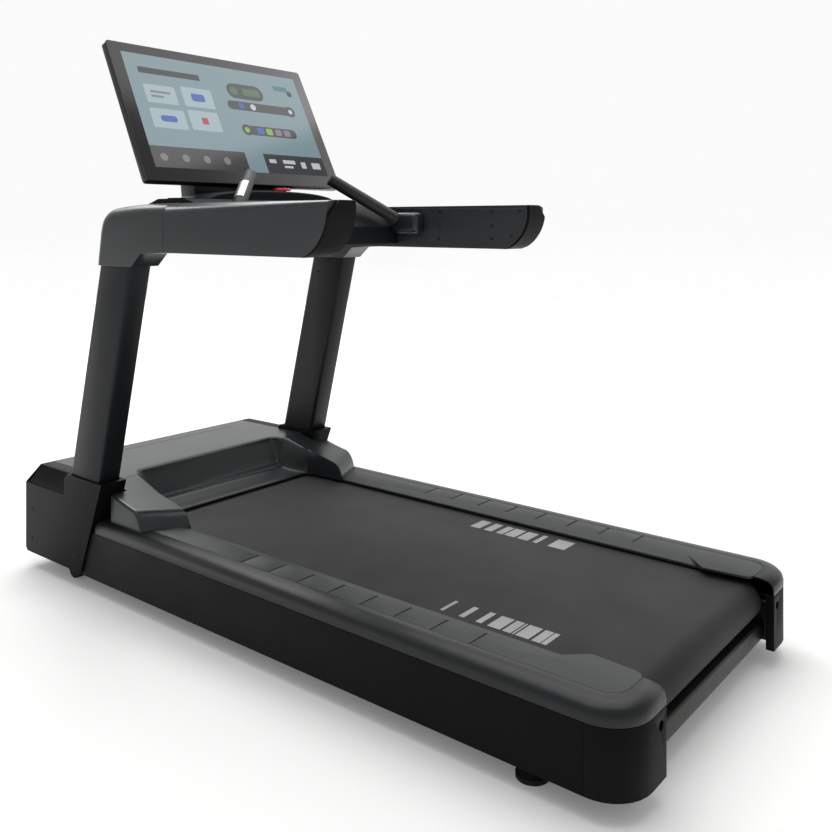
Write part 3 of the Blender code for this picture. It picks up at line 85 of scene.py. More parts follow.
SCREEN_TILT = math.radians(26.6)
SCREEN_DEEP = SCREEN_HIGH.y - SCREEN_LOW.y
SCREEN_TALL = SCREEN_HIGH.z - SCREEN_LOW.z
SCREEN_DEPTH = (
    (SCREEN_DEEP * math.cos(SCREEN_TILT) - SCREEN_TALL * math.sin(SCREEN_TILT)) / math.cos(2 * SCREEN_TILT)
)
FRONT_Y = CAD_BOX[1][1]
UPRIGHT_AT_TOP = 0.469   # upright's rear face where the hood grips it
UPRIGHT_FACE = 0.390     # upright's inner side


# ---- sizes and colours that a user would change -------------------------------------------------
class TreadmillFinish(bpy.types.PropertyGroup):
    shell_color: bpy.props.StringProperty(
        name="Shell colour", description="sRGB hex of the satin arm and console mouldings", default="1e2325"
    )
    cover_color: bpy.props.StringProperty(
        name="Cover colour", description="sRGB hex of the textured black covers", default="0b0b0b"
    )
    rail_color: bpy.props.StringProperty(
        name="Rail colour", description="sRGB hex of the ribbed foot rails", default="2a2e2f"
    )
    belt_color: bpy.props.StringProperty(
        name="Belt colour", description="sRGB hex of the running belt", default="1b1b1b"
    )
    button_color: bpy.props.StringProperty(
        name="Button colour", description="sRGB hex of the stop button", default="d81f1a"
    )


class TreadmillStage(bpy.types.PropertyGroup):
    camera_place: bpy.props.FloatVectorProperty(
        name="Camera place", description="Where the camera stands", default=(-1.9134, -1.7095, 1.07),
        subtype="TRANSLATION"
    )
    camera_heading: bpy.props.FloatProperty(
        name="Heading", description="Camera heading, clockwise from +Y", default=math.radians(51.2),
        subtype="ANGLE"
    )
    camera_pitch: bpy.props.FloatProperty(
        name="Pitch", description="Camera pitch below level", default=0.0, subtype="ANGLE"
    )
    lens: bpy.props.FloatProperty(
        name="Lens", description="Focal length on a 36 mm sensor", default=39.26, unit="CAMERA"
    )
    shift: bpy.props.FloatProperty(
        name="Shift", description="Vertical lens shift, as a share of the frame", default=-0.2333
    )


# ---- mesh helpers --------------------------------------------------------------------------------
def prism(outline, axis, start, end):
    """A closed outline extruded along X (its pairs are y, z), Y (x, z) or Z (x, y)."""
    place = {
        "X": lambda a, b: (start, a, b),
        "Y": lambda a, b: (a, start, b),
        "Z": lambda a, b: (a, b, start),
    }[axis]
    along = {"X": (end - start, 0, 0), "Y": (0, end - start, 0), "Z": (0, 0, end - start)}[axis]
    bm = bmesh.new()
    face = bm.faces.new([bm.verts.new(place(a, b)) for a, b in outline])
    made = bmesh.ops.extrude_face_region(bm, geom=[face])
    moved = [item for item in made["geom"] if isinstance(item, bmesh.types.BMVert)]
    bmesh.ops.translate(bm, verts=moved, vec=along)
    bmesh.ops.recalc_face_normals(bm, faces=bm.faces)
    return bm


def block(low, high):
    bm = bmesh.new()
    bmesh.ops.create_cube(bm, size=1)
    bmesh.ops.scale(bm, verts=bm.verts, vec=Vector(high) - Vector(low))
    bmesh.ops.translate(bm, verts=bm.verts, vec=(Vector(low) + Vector(high)) / 2)
    return bm


def turned(section, center, axis, segments=48):
    """A round piece: its closed section of (along, radius) pairs spun about an axis through a centre."""
    bm = bmesh.new()
    loop = [bm.verts.new((radius, 0, along)) for along, radius in section]
    edges = [bm.edges.new((loop[i - 1], loop[i])) for i in range(len(loop))]
    bmesh.ops.spin(
        bm, geom=loop + edges, cent=(0, 0, 0), axis=(0, 0, 1), angle=math.tau, steps=segments, use_merge=True
    )
    bmesh.ops.remove_doubles(bm, verts=bm.verts, dist=1e-6)
    bmesh.ops.recalc_face_normals(bm, faces=bm.faces)
    turn = Vector((0, 0, 1)).rotation_difference(Vector(axis)).to_matrix().to_4x4()
    bmesh.ops.transform(bm, matrix=Matrix.Translation(Vector(center)) @ turn, verts=bm.verts)
    return bm


def arc(center, radius, first, last, steps):
    """Points on an arc in any plane, with both ends."""
    points = []
    for i in range(steps + 1):
        angle = math.radians(first + (last - first) * i / steps)
        points.append((center[0] + radius * math.cos(angle), center[1] + radius * math.sin(angle)))
    return points


def smooth_path(points, steps=6):
    """A Catmull-Rom curve through points of any number of coordinates, with both ends."""
    rows = [Vector(p) for p in points]
    rows = [rows[0] * 2 - rows[1], *rows, rows[-1] * 2 - rows[-2]]
    out = []
    for a, b, c, d in zip(rows, rows[1:], rows[2:], rows[3:]):
        for i in range(steps):
            t = i / steps
            out.append(
                0.5 * (2 * b + (c - a) * t + (2 * a - 5 * b + 4 * c - d) * t * t + (3 * b - a - 3 * c + d) * t ** 3)
            )
    out.append(rows[-2])
    return [tuple(p) for p in out]


def mirrored(bm, side):
    """The right-hand shape, or its mirror image for the left."""
    if side < 0:
        bmesh.ops.scale(bm, verts=bm.verts, vec=(-1, 1, 1))
        bmesh.ops.reverse_faces(bm, faces=bm.faces)
    return bm


def rounded(bm, edges, width, segments=3):
    bmesh.ops.bevel(
        bm, geom=list(edges), offset=width, affect="EDGES", segments=segments, profile=0.5, material=-1
    )
    return bm


def new_object(name, bm):
    mesh = bpy.data.meshes.new(name)
    bm.to_mesh(mesh)
    bm.free()
    obj = bpy.data.objects.new(name, mesh)
    bpy.context.scene.collection.objects.link(obj)
    return obj


def carve(obj, bm, operation="DIFFERENCE"):
    """Cuts or joins a shape, and keeps only the result."""
    tool = new_object("tool", bm)
    modifier = obj.modifiers.new("carve", "BOOLEAN")
    modifier.operation = operation
    modifier.solver = "EXACT"
    modifier.object = tool
    depsgraph = bpy.context.evaluated_depsgraph_get()
    result = bpy.data.meshes.new_from_object(obj.evaluated_get(depsgraph))
    obj.modifiers.clear()
    obj.data = result
    bpy.data.objects.remove(tool)
    return obj


def finished(obj, look, body="root", replaces=(), edge=0.0, segments=2, angle=32):
    """Rounds a piece's edges, shades it, gives it its finish and body, and hides the CAD nodes it replaces."""
    mesh = obj.data
    mesh.materials.clear()
    mesh.materials.append(bpy.data.materials[look])
    mesh.shade_smooth()
    if edge:
        modifier = obj.modifiers.new("edges", "BEVEL")
        modifier.width = edge
        modifier.segments = segments
        modifier.limit_method = "ANGLE"
        modifier.angle_limit = math.radians(angle)
        modifier.harden_normals = True
    else:
        mesh.set_sharp_from_angle(angle=math.radians(angle))
    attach(obj, body)
    if replaces:
        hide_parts(*replaces)
    return obj


def softened(node, look, body="root", edge=1.2 * MM, segments=2, angle=32):
    """A copy of a CAD node with whole flat faces and rounded edges."""
    bm = bmesh.new()
    bm.from_mesh(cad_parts[node].data)
    bmesh.ops.remove_doubles(bm, verts=bm.verts, dist=1e-5)
    bmesh.ops.dissolve_limit(bm, angle_limit=math.radians(1.0), verts=bm.verts, edges=bm.edges)
    return finished(new_object(f"{node}_piece", bm), look, body, [node], edge, segments, angle)


# ---- material helpers ----------------------------------------------------------------------------
def linear(color):
    """Linear RGBA of an sRGB hex colour."""
    parts = [int(color[i:i + 2], 16) / 255 for i in (0, 2, 4)]
    return tuple(c / 12.92 if c <= 0.04045 else ((c + 0.055) / 1.055) ** 2.4 for c in parts) + (1.0,)


def shaded(color, factor):
    """A linear colour made lighter or darker."""
    return tuple(min(1.0, c * factor) for c in color[:3]) + (1.0,)


def add_node(tree, kind, values=None, links=None, **settings):
    """Adds one node with its settings, socket values and links."""
    node = tree.nodes.new(kind)
    for name, value in settings.items():
        setattr(node, name, value)
    for socket, value in (values or {}).items():
        node.inputs[socket].default_value = value
    for socket, source in (links or {}).items():
        tree.links.new(source, node.inputs[socket])
    return node


def surface(name, color, roughness, grain, depth, spread=0.10, metallic=0.0, patch=0.12, stretch=(1, 1, 1), **more):
    """A solid finish: grain in metres as bump, and slow patches of shade and gloss.

    spread is how far the shade and roughness wander, and patch the size of the patches in metres.
    """
    made = bpy.data.materials.new(name)
    made.use_nodes = True
    tree = made.node_tree
    shader = tree.nodes["Principled BSDF"]
    shader.inputs["Metallic"].default_value = metallic
    for socket, value in more.items():
        shader.inputs[socket.replace("_", " ")].default_value = value
    base = linear(color)
    place = add_node(tree, "ShaderNodeTexCoord").outputs["Object"]
    along = add_node(tree, "ShaderNodeMapping", {"Scale": stretch}, {"Vector": place}).outputs["Vector"]
    fine = add_node(
        tree, "ShaderNodeTexNoise", {"Scale": 1 / grain, "Detail": 3.0, "Roughness": 0.6}, {"Vector": along}
    ).outputs["Fac"]
    slow = add_node(
        tree, "ShaderNodeTexNoise", {"Scale": 1 / patch, "Detail": 2.0}, {"Vector": place}
    ).outputs["Fac"]
    both = add_node(
        tree, "ShaderNodeMath", {1: 0.55}, {0: fine}, operation="MULTIPLY"
    ).outputs[0]
    both = add_node(
        tree, "ShaderNodeMath", {1: 0.45}, {0: slow, 2: both}, operation="MULTIPLY_ADD"
    ).outputs[0]
    steep = add_node(
        tree, "ShaderNodeMapRange", {"From Min": 0.3, "From Max": 0.7}, {"Value": both}
    )
    tint = add_node(
        tree, "ShaderNodeMix", {6: shaded(base, 1 - spread), 7: shaded(base, 1 + spread)}, data_type="RGBA"
    )
    tree.links.new(steep.outputs["Result"], tint.inputs["Factor"])
    tree.links.new(tint.outputs[2], shader.inputs["Base Color"])
    gloss = add_node(
        tree, "ShaderNodeMapRange",
        {"To Min": roughness * (1 - spread), "To Max": roughness * (1 + spread)},
        {"Value": steep.outputs["Result"]},
    )
    tree.links.new(gloss.outputs["Result"], shader.inputs["Roughness"])
    bump = add_node(tree, "ShaderNodeBump", {"Strength": 1.0, "Distance": depth}, {"Height": fine})
    tree.links.new(bump.outputs["Normal"], shader.inputs["Normal"])
    return made


def belt_weave():
    """PVC treadmill belting, embossed with a fine diamond weave: matt, with a faint regular sparkle."""
    thread = 2.2 * MM  # drawn about twice as coarse as real, so that it shows
    made = surface("pvc_belting", bpy.context.scene.treadmill_finish.belt_color, 0.72, 1.1 * MM, 0.03 * MM, 0.10)
    tree = made.node_tree
    place = add_node(tree, "ShaderNodeTexCoord").outputs["Object"]
    turned_place = add_node(
        tree, "ShaderNodeMapping", {"Rotation": (0, 0, math.radians(45))}, {"Vector": place}
    ).outputs["Vector"]
    parts = add_node(tree, "ShaderNodeSeparateXYZ", None, {"Vector": turned_place})
    waves = []
    for axis in ("X", "Y"):
        scaled = add_node(
            tree, "ShaderNodeMath", {1: math.tau / thread}, {0: parts.outputs[axis]}, operation="MULTIPLY"
        )
        waves.append(add_node(tree, "ShaderNodeMath", None, {0: scaled.outputs[0]}, operation="SINE").outputs[0])
    product = add_node(
        tree, "ShaderNodeMath", None, {0: waves[0], 1: waves[1]}, operation="MULTIPLY"
    ).outputs[0]
    old = [n for n in tree.nodes if n.bl_idname == "ShaderNodeBump"][0]
    weave = add_node(
        tree, "ShaderNodeBump", {"Strength": 0.6, "Distance": 0.12 * MM},
        {"Height": product, "Normal": old.outputs["Normal"]},
    )
    tree.links.new(weave.outputs["Normal"], tree.nodes["Principled BSDF"].inputs["Normal"])
    return made


def lit(name, color, strength, spread=0.04):
    """A lit area of the display: its own light behind clear glass, with a slow drift of brightness."""
    made = surface(name, color, 0.12, 0.6 * MM, 0.0, spread, patch=0.25)
    tree = made.node_tree
    shader = tree.nodes["Principled BSDF"]
    tint = shader.inputs["Base Color"].links[0]
    tree.links.new(tint.from_socket, shader.inputs["Emission Color"])
    tree.links.remove(tint)
    shader.inputs["Base Color"].default_value = linear("0c0d0e")
    shader.inputs["Emission Strength"].default_value = strength
    return made


def make_materials():
    finish = bpy.context.scene.treadmill_finish
    # ABS mouldings lacquered satin graphite: soft highlights and almost no grain
    surface("satin_abs", finish.shell_color, 0.30, 0.5 * MM, 0.012 * MM, 0.07, Specular_IOR_Level=0.5)
    # the console's ABS, moulded dark and left duller than the arms
    surface("console_abs", "15181b", 0.44, 0.5 * MM, 0.012 * MM, 0.08, Specular_IOR_Level=0.07)
    # the arms' inner panels, a touch duller than their shells
    surface("panel_abs", "25282c", 0.42, 0.6 * MM, 0.02 * MM, 0.08, Specular_IOR_Level=0.4)
    # the same lacquer in near black, on the covers low down
    surface("dark_satin_abs", "0e0e0f", 0.42, 0.5 * MM, 0.012 * MM, 0.07, Specular_IOR_Level=0.08)
    # the trims beside the foot rails, which shoes keep dull
    surface("trim_abs", "191b1d", 0.38, 0.5 * MM, 0.02 * MM, 0.08, Specular_IOR_Level=0.32)
    # the same ABS spark-eroded to a fine matt grain, which hides fingerprints
    surface("grained_abs", finish.cover_color, 0.52, 0.8 * MM, 0.035 * MM, 0.12, Specular_IOR_Level=0.09)
    # glass-filled polypropylene foot rails: a harder, drier grey that scuffs lighter
    surface("rail_polypropylene", finish.rail_color, 0.50, 1.0 * MM, 0.05 * MM, 0.10, Specular_IOR_Level=0.4)
    # powder coat: orange peel a few millimetres across, low sheen
    surface("powder_coat", "15171a", 0.40, 2.5 * MM, 0.05 * MM, 0.06, Specular_IOR_Level=0.22)
    # rolled steel left oiled, at the rear crossbar
    surface("oiled_steel", "1a1916", 0.45, 1.5 * MM, 0.02 * MM, 0.15, 0.2)
    # turned steel of the drums and axles: fine rings round the axis
    surface("turned_steel", "8e8f90", 0.30, 0.4 * MM, 0.01 * MM, 0.08, 1.0, stretch=(6, 1, 1))
    # die-cast aluminium: pale, slightly pitted
    surface("cast_aluminium", "8a8b8c", 0.46, 1.2 * MM, 0.05 * MM, 0.10, 1.0)
    # brushed stainless steel of the pulse plates: lines along the grip
    surface("brushed_steel", "b4b5ad", 0.28, 0.35 * MM, 0.012 * MM, 0.10, 1.0, stretch=(1, 1, 0.15))
    # moulded rubber: matt and dense
    surface("moulded_rubber", "151515", 0.78, 0.9 * MM, 0.05 * MM, 0.12, Specular_IOR_Level=0.3)
    # foam-filled polyurethane grip sleeve
    surface("grip_sleeve", "1b1c1e", 0.46, 0.7 * MM, 0.05 * MM, 0.10, Specular_IOR_Level=0.4)
    # phenolic faced plywood deck
    surface("waxed_board", "5b4027", 0.42, 1.0 * MM, 0.02 * MM, 0.18, stretch=(1, 0.08, 1))
    # injection moulded ABS button, polished
    surface("red_abs", finish.button_color, 0.25, 0.6 * MM, 0.004 * MM, 0.05, Coat_Weight=0.4)
    # the display's painted surround, seen through its cover glass
    surface("bezel_glass", "17181a", 0.20, 0.6 * MM, 0.003 * MM, 0.05)
    # screen-printed ink on the belt: thin, slightly broken by the weave
    surface("printed_ink", "9a9b9b", 0.75, 1.3 * MM, 0.05 * MM, 0.35)
    # blackened socket screws
    surface("black_screw", "0e0e0f", 0.35, 0.5 * MM, 0.01 * MM, 0.1, 0.6)
    belt_weave()
    for name, color, strength in (
        ("screen_sky", "7b959c", 0.80), ("screen_tile", "a3b9be", 0.80), ("screen_bar", "45444a", 0.35),
        ("screen_pill", "3e4648", 0.35), ("screen_blue", "2f62c9", 0.6), ("screen_red", "cf2f2b", 0.6),
        ("screen_lime", "8fd32f", 0.6), ("screen_teal", "2f8f94", 0.5), ("screen_pink", "a78fa5", 0.5),
        ("screen_white", "dfe5e6", 0.6), ("screen_ink", "20282c", 0.3), ("screen_grey", "9a9c9f", 0.45),
        ("screen_green", "5f8a5a", 0.4),
    ):
        lit(name, color, strength)


# ---- small pieces used in several places ---------------------------------------------------------
def screws(name, places, axis, radius=5.0 * MM, body="root"):
    """Socket screws in one object: low round heads with a hollow, looking along the axis."""
    whole = bmesh.new()
    section = [
        (-3 * MM, 0.0), (-3 * MM, radius), (0.4 * MM, radius), (0.9 * MM, radius - 0.6 * MM),
        (0.9 * MM, radius * 0.55), (-1.4 * MM, radius * 0.50), (-1.4 * MM, 0.0),
    ]
    for place in places:
        one = turned(section, place, axis, 20)
        mesh = bpy.data.meshes.new("screw")
        one.to_mesh(mesh)
        one.free()
        whole.from_mesh(mesh)
        bpy.data.meshes.remove(mesh)
    return finished(new_object(name, whole), "black_screw", body)


def merged(name, shapes):
    """One object from several bmeshes."""
    whole = bmesh.new()
    for shape in shapes:
        mesh = bpy.data.meshes.new("part")
        shape.to_mesh(mesh)
        shape.free()
        whole.from_mesh(mesh)
        bpy.data.meshes.remove(mesh)
    return new_object(name, whole)


def both_sides(names):
    return [f"{name}_{side}" for name in names for side, _ in SIDES]


# ---- belt ----------------------------------------------------------------------------------------
# each bar: its middle along the belt in metres, and its length in millimetres
NEAR_BARS = ((-0.468, 9), (-0.523, 14), (-0.569, 15), (-0.609, 33), (-0.642, 21), (-0.658, 4), (-0.681, 33),
             (-0.715, 21), (-0.734, 12))
FAR_BARS = ((-0.203, 26), (-0.2185, 7), (-0.250, 26), (-0.289, 22), (-0.323, 34), (-0.365, 34), (-0.405, 14),
            (-0.471, 51))


def printed_bars(name, low_x, high_x, bars):
    """Bars across the belt: each is its middle along the belt and its length in millimetres."""
    top = BELT_HIGH.z
    shapes = []
    for middle, length in bars:
        half = length * MM / 2
        shapes.append(block((low_x, middle - half, top - 0.05 * MM), (high_x, middle + half, top + 0.12 * MM)))
    return finished(merged(name, shapes), "printed_ink")


class BuildBelt(bpy.types.Operator):
    """Running belt with its printed bars, the drums, deck and drive belt"""
    bl_idname = "treadmill.belt"
    bl_label = "Belt and drums"

    def execute(self, context):
        softened("running_belt", "pvc_belting", edge=0.6 * MM, angle=50)
        printed_bars("belt_print_left", -0.278, -0.217, NEAR_BARS)
        printed_bars("belt_print_right", 0.226, 0.290, FAR_BARS)
        softened("deck_board", "waxed_board")
        softened("drive_belt", "moulded_rubber", edge=0.4 * MM)
        softened("front_roller", "turned_steel", "front_roller", 0.5 * MM)
        softened("rear_roller", "turned_steel", "rear_roller", 0.5 * MM)
        for node in ("front_axle", "rear_axle"):
            softened(node, "turned_steel", edge=0.4 * MM)
        return {"FINISHED"}


# ---- foot rails and sides ------------------------------------------------------------------------
class BuildRails(bpy.types.Operator):
    """Ribbed foot rails and the rounded trims beside them"""
    bl_idname = "treadmill.rails"
    bl_label = "Foot rails"

    def execute(self, context):
        for side, _ in SIDES:
            softened(f"foot_rail_{side}", "rail_polypropylene", edge=0.9 * MM)
            softened(f"edge_trim_{side}", "trim_abs", edge=1.0 * MM)
        return {"FINISHED"}


class BuildSides(bpy.types.Operator):
    """Long side panels and the rear corner caps"""
    bl_idname = "treadmill.sides"
    bl_label = "Side panels"

    def execute(self, context):
        for side, _ in SIDES:
            softened(f"side_panel_{side}", "grained_abs", edge=1.2 * MM)
            softened(f"rear_cap_{side}", "grained_abs", edge=1.2 * MM)
        return {"FINISHED"}


# ---- housing -------------------------------------------------------------------------------------
LIP_Y = 0.555            # edge of the scoop, over the belt
LIP_Z = BELT_HIGH.z + 8 * MM
DECK_Z = 0.308           # flat top of the hood
HOOD_EDGE = COVER_LOW.x - 0.5 * MM
LOBE_EDGE = 0.436        # outer side of the lobes
COLLAR_Y = 0.599         # where the collars cut the lobes short
CREST = smooth_path([  # along the lobes' tops, as (y, z)
    (0.40, 0.246), (0.43, 0.252), (0.473, 0.261), (0.547, 0.275), (0.61, 0.291), (0.665, 0.305),
    (0.70, DECK_Z), (1.1, DECK_Z),
], 5)
SCOOP = smooth_path([  # along the scoop's floor, as (y, z)
    (0.40, 0.140), (0.545, 0.190), (LIP_Y, LIP_Z + 3 * MM), (0.60, 0.207), (0.64, 0.214), (0.70, 0.232),
    (1.1, 0.24),
], 5)


def eased(t):
    t = min(1.0, max(0.0, t))
    return t * t * (3 - 2 * t)


def height_on(curve, y):
    """Height of a curve of (y, z) pairs, in order of y."""
    for (y0, z0), (y1, z1) in zip(curve, curve[1:]):
        if y <= y1:
            return z0 + (z1 - z0) * (y - y0) / (y1 - y0)
    return curve[-1][1]


def hood_height(x, y):
    """Top of the hood: a deck that runs into two lobes, with a scoop between them."""
    across = abs(x)
    steep = eased((0.66 - y) / 0.16)
    run = 0.048 - 0.034 * steep
    rim = 0.306 + 0.007 * steep
    side = (across - rim + run) / run
    back = (y - 0.652) / 0.062
    wall = eased(math.hypot(max(0.0, side), max(0.0, back)))
    end = 0.405 + (across - 0.327) * 0.475
    crest = height_on(CREST, y)
    left = (y - end) / 0.040
    if left < 1:
        crest = 0.200 + (crest - 0.200) * math.sqrt(max(0.0, 1 - (1 - max(0.0, left)) ** 2))
    outer = (across - (LOBE_EDGE - 6 * MM)) / (6 * MM)
    if outer > 0:
        crest -= 0.008 * (1 - math.sqrt(max(0.0, 1 - min(1.0, outer) ** 2)))
    floor = height_on(SCOOP, y)
    return floor + (crest - floor) * wall


def hood():
    """Motor hood in one moulding, with a groove across the deck and openings for the mains parts."""
    half = [i * 0.0125 for i in range(20)] + [0.246 + i * 0.0035 for i in range(20)] + [
        0.318, 0.330, 0.345, 0.360, 0.373, HOOD_EDGE, 0.396, 0.410, 0.424, 0.430, 0.4325, 0.4345, 0.4355, LOBE_EDGE,
        LOBE_EDGE]
    columns = [-x for x in reversed(half[1:])] + half
    rows = [0.400 + i * 0.0045 for i in range(44)] + [COLLAR_Y, 0.604, 0.610]
    rows += [0.616 + i * 0.006 for i in range(18)] + [0.74, 0.80, 0.86, 0.92, 0.98, FRONT_Y - 0.015]
    front = [(FRONT_Y, DECK_Z - 0.046), (FRONT_Y, HOOD_LOW.z)]
    bm = bmesh.new()
    count = len(rows) + len(front)
    bmesh.ops.create_grid(bm, x_segments=len(columns) - 1, y_segments=count - 1, size=1)
    for vert in bm.verts:
        column = round((vert.co.x + 1) / 2 * (len(columns) - 1))
        row = round((vert.co.y + 1) / 2 * (count - 1))
        x = columns[column]
        if row < len(rows):
            vert.co = (x, rows[row], hood_height(x, rows[row]))
            if column in (0, len(columns) - 1):
                vert.co.z = LIP_Z
        else:
            vert.co = (x, *front[row - len(rows)])
    beyond = []
    for face in bm.faces:
        middle = face.calc_center_median()
        if abs(middle.x) > HOOD_EDGE and middle.y > COLLAR_Y:
            beyond.append(face)
    bmesh.ops.delete(bm, geom=beyond, context="FACES")
    tops = [face for face in bm.faces if face.calc_center_median().y < 0.8]
    parts = set(tops)
    for face in tops:
        parts.update(face.edges)
        parts.update(face.verts)
    bmesh.ops.bisect_plane(bm, geom=list(parts), plane_co=(0, 0, LIP_Z), plane_no=(0, 0, -1), clear_outer=True)
    loose = [vert for vert in bm.verts if not vert.link_faces]
    bmesh.ops.delete(bm, geom=loose, context="VERTS")
    bmesh.ops.recalc_face_normals(bm, faces=bm.faces)
    if sum(face.normal.z * face.calc_area() for face in bm.faces) < 0:
        bmesh.ops.reverse_faces(bm, faces=bm.faces)
    obj = new_object("motor_hood_piece", bm)
    wall = obj.modifiers.new("wall", "SOLIDIFY")
    wall.thickness = 3 * MM
    wall.offset = -1
    carve(obj, block((-0.262, FRONT_Y - 0.02, 0.090), (-0.198, FRONT_Y + 0.01, 0.126)))
    carve(obj, block((-0.170, FRONT_Y - 0.02, 0.092), (-0.138, FRONT_Y + 0.01, 0.124)))
    carve(obj, block((-0.300, 0.9480, DECK_Z - 1 * MM), (0.300, 0.9505, DECK_Z + 5 * MM)))
    screws("hood_screws", [(side * 0.372, 0.612, 0.2905) for _, side in SIDES], (0, -0.2, 1))
    return finished(obj, "satin_abs", "root", ["motor_hood"], 0.0, angle=40)


class BuildHousing(bpy.types.Operator):
    """Motor hood and the side covers that hold the uprights"""
    bl_idname = "treadmill.housing"
    bl_label = "Motor housing"

    def execute(self, context):
        hood()
        for side, sign in SIDES:
            softened(f"housing_cover_{side}", "dark_satin_abs", edge=4.0 * MM, segments=4)
            face = COVER_HIGH.x * sign
            places = [
                (face, FRONT_Y - 0.037, 0.180), (face, FRONT_Y - 0.035, 0.090), (face, FRONT_Y - 0.280, 0.090),
                (face, FRONT_Y - 0.337, 0.292),
            ]
            screws(f"housing_screws_{side}", places, (sign, 0, 0))
            shoulder = (face - sign * 0.021, FRONT_Y - 0.183, 0.283)
            screws(f"shoulder_screw_{side}", [shoulder], (sign, 0, 0.84), 7 * MM)
        return {"FINISHED"}


# ---- uprights and arms ---------------------------------------------------------------------------
class BuildUprights(bpy.types.Operator):
    """Leaning uprights with their screws"""
    bl_idname = "treadmill.uprights"
    bl_label = "Uprights"

    def execute(self, context):
        for side, sign in SIDES:
            softened(f"upright_{side}", "powder_coat", edge=5 * MM, segments=4)
            face = UPRIGHT_FACE * sign
            places = [(face, 0.591, 0.895), (face, 0.536, 0.936), (face, 0.498, 0.895)]
            screws(f"upright_screws_{side}", places, (-sign, 0, 0), 4 * MM)
        return {"FINISHED"}


ARM_END = -0.289         # rear edge of the arm's shell, at its top
ARM_TOP = ARM_HIGH.z
ARM_BOTTOM = ARM_LOW.z
CROWN = 34 * MM          # rounding between an arm's outer side and its top
ARM_SHOULDER = 36 * MM   # corner cut off the end caps above the crown
REAR_CURVE = smooth_path([
    (0.0, ARM_TOP), (0.0, ARM_TOP - 0.036), (0.010, ARM_TOP - 0.070), (0.030, ARM_TOP - 0.100),
    (0.056, ARM_TOP - 0.122), (0.082, ARM_BOTTOM),
], 4)


def crowned(outline, low_x, high_x, width, front=False, segments=7):
    """A side view given its width, with its outer upper and front edges well rounded."""
    bm = prism(outline, "X", low_x, high_x)
    chosen = []
    for edge in bm.edges:
        outer = all(vert.co.x > high_x - MM for vert in edge.verts)
        upper = [face for face in edge.link_faces if face.normal.z > 0.3 or front and face.normal.y > 0.3]
        if outer and upper:
            chosen.append(edge)
    return rounded(bm, chosen, width, segments)


def arm(side, sign):
    """Outer shell, end cap and inner panel of one arm."""
    seam = ARM_HIGH.y
    rear = [(ARM_END + y, z) for y, z in REAR_CURVE]
    shell = crowned([(seam, ARM_BOTTOM), (seam, ARM_TOP), *rear], ARM_LOW.x + 4 * MM, ARM_HIGH.x, CROWN)
    finished(
        new_object(f"arm_shell_{side}_piece", mirrored(shell, sign)), "satin_abs", "root",
        [f"arm_shell_{side}"], 1.5 * MM, 3, 40
    )
    behind = [(y - 8 * MM, z) for y, z in rear]
    cap = prism([(0, ARM_BOTTOM), (0, ARM_TOP), *behind], "X", ARM_LOW.x + 1 * MM, ARM_HIGH.x - 1 * MM)
    cap = new_object(f"arm_end_cap_{side}_piece", mirrored(cap, sign))
    filled = [
        (0.1, ARM_BOTTOM - 0.1), (0.1, ARM_TOP + 0.1), (ARM_END, ARM_TOP + 0.1), *rear,
        (rear[-1][0], ARM_BOTTOM - 0.1),
    ]
    carve(cap, mirrored(prism(filled, "X", 0.3, 0.5), sign))
    corner = [
        (ARM_HIGH.x + 5 * MM, ARM_TOP - ARM_SHOULDER - 5 * MM), (ARM_HIGH.x + 5 * MM, ARM_TOP + 5 * MM),
        (ARM_HIGH.x - ARM_SHOULDER - 5 * MM, ARM_TOP + 5 * MM),
    ]
    carve(cap, mirrored(prism(corner, "Y", ARM_END - 0.02, ARM_END + 0.1), sign))
    finished(cap, "grained_abs", "root", [f"arm_end_cap_{side}"], 1.2 * MM, 3, 40)
    inner = [(y + 0.4 * MM, z) for y, z in rear]
    front = ARM_PANEL_HIGH.y
    panel = prism(
        [(front, ARM_BOTTOM + 4 * MM), (front, ARM_TOP - 4 * MM), *inner[1:-1]], "X", ARM_LOW.x, ARM_LOW.x + 3.6 * MM
    )
    finished(
        new_object(f"arm_panel_{side}_piece", mirrored(panel, sign)), "panel_abs", "root",
        [f"arm_panel_{side}"], 1.0 * MM
    )


def top_hood(side, sign):
    """The cover over an upright's top, which carries the arm."""
    seam = ARM_HIGH.y + 0.6 * MM
    low = TOP_HOOD_LOW
    front = TOP_HOOD_HIGH.y
    outline = smooth_path([
        (front, low.z + 0.006), (front - 0.010, 1.010), (front - 0.018, 1.052), (front - 0.034, 1.086),
        (front - 0.066, 1.106), (front - 0.12, 1.113), (front - 0.20, 1.118), (seam, ARM_TOP)
    ], 4)
    rear = UPRIGHT_AT_TOP - 0.012
    outline += [(seam, ARM_BOTTOM), (rear - 0.042, ARM_BOTTOM - 0.006), (rear, low.z + 0.004)]
    outline[0] = (front, low.z)
    outline[-1] = (rear, low.z)
    body = mirrored(crowned(outline, ARM_LOW.x + 1 * MM, ARM_HIGH.x, CROWN, front=True), sign)
    finished(
        new_object(f"upright_hood_{side}_piece", body), "satin_abs", "root", [f"upright_hood_{side}"],
        1.5 * MM, 3, 40
    )


class BuildArms(bpy.types.Operator):
    """Side arms: outer shells, inner panels with their screws, and end caps"""
    bl_idname = "treadmill.arms"
    bl_label = "Arms"

    def execute(self, context):
        inner = ((0.033, 1.101), (0.034, 1.056), (0.039, 1.018), (-0.164, 1.101), (-0.164, 1.058),
                 (-0.164, 1.020), (-0.264, 1.103), (-0.235, 1.028))
        for side, sign in SIDES:
            arm(side, sign)
            top_hood(side, sign)
            face = ARM_PANEL_LOW.x * sign
            screws(f"arm_screws_{side}", [(face, y, z) for y, z in inner], (-sign, 0, 0))
        return {"FINISHED"}


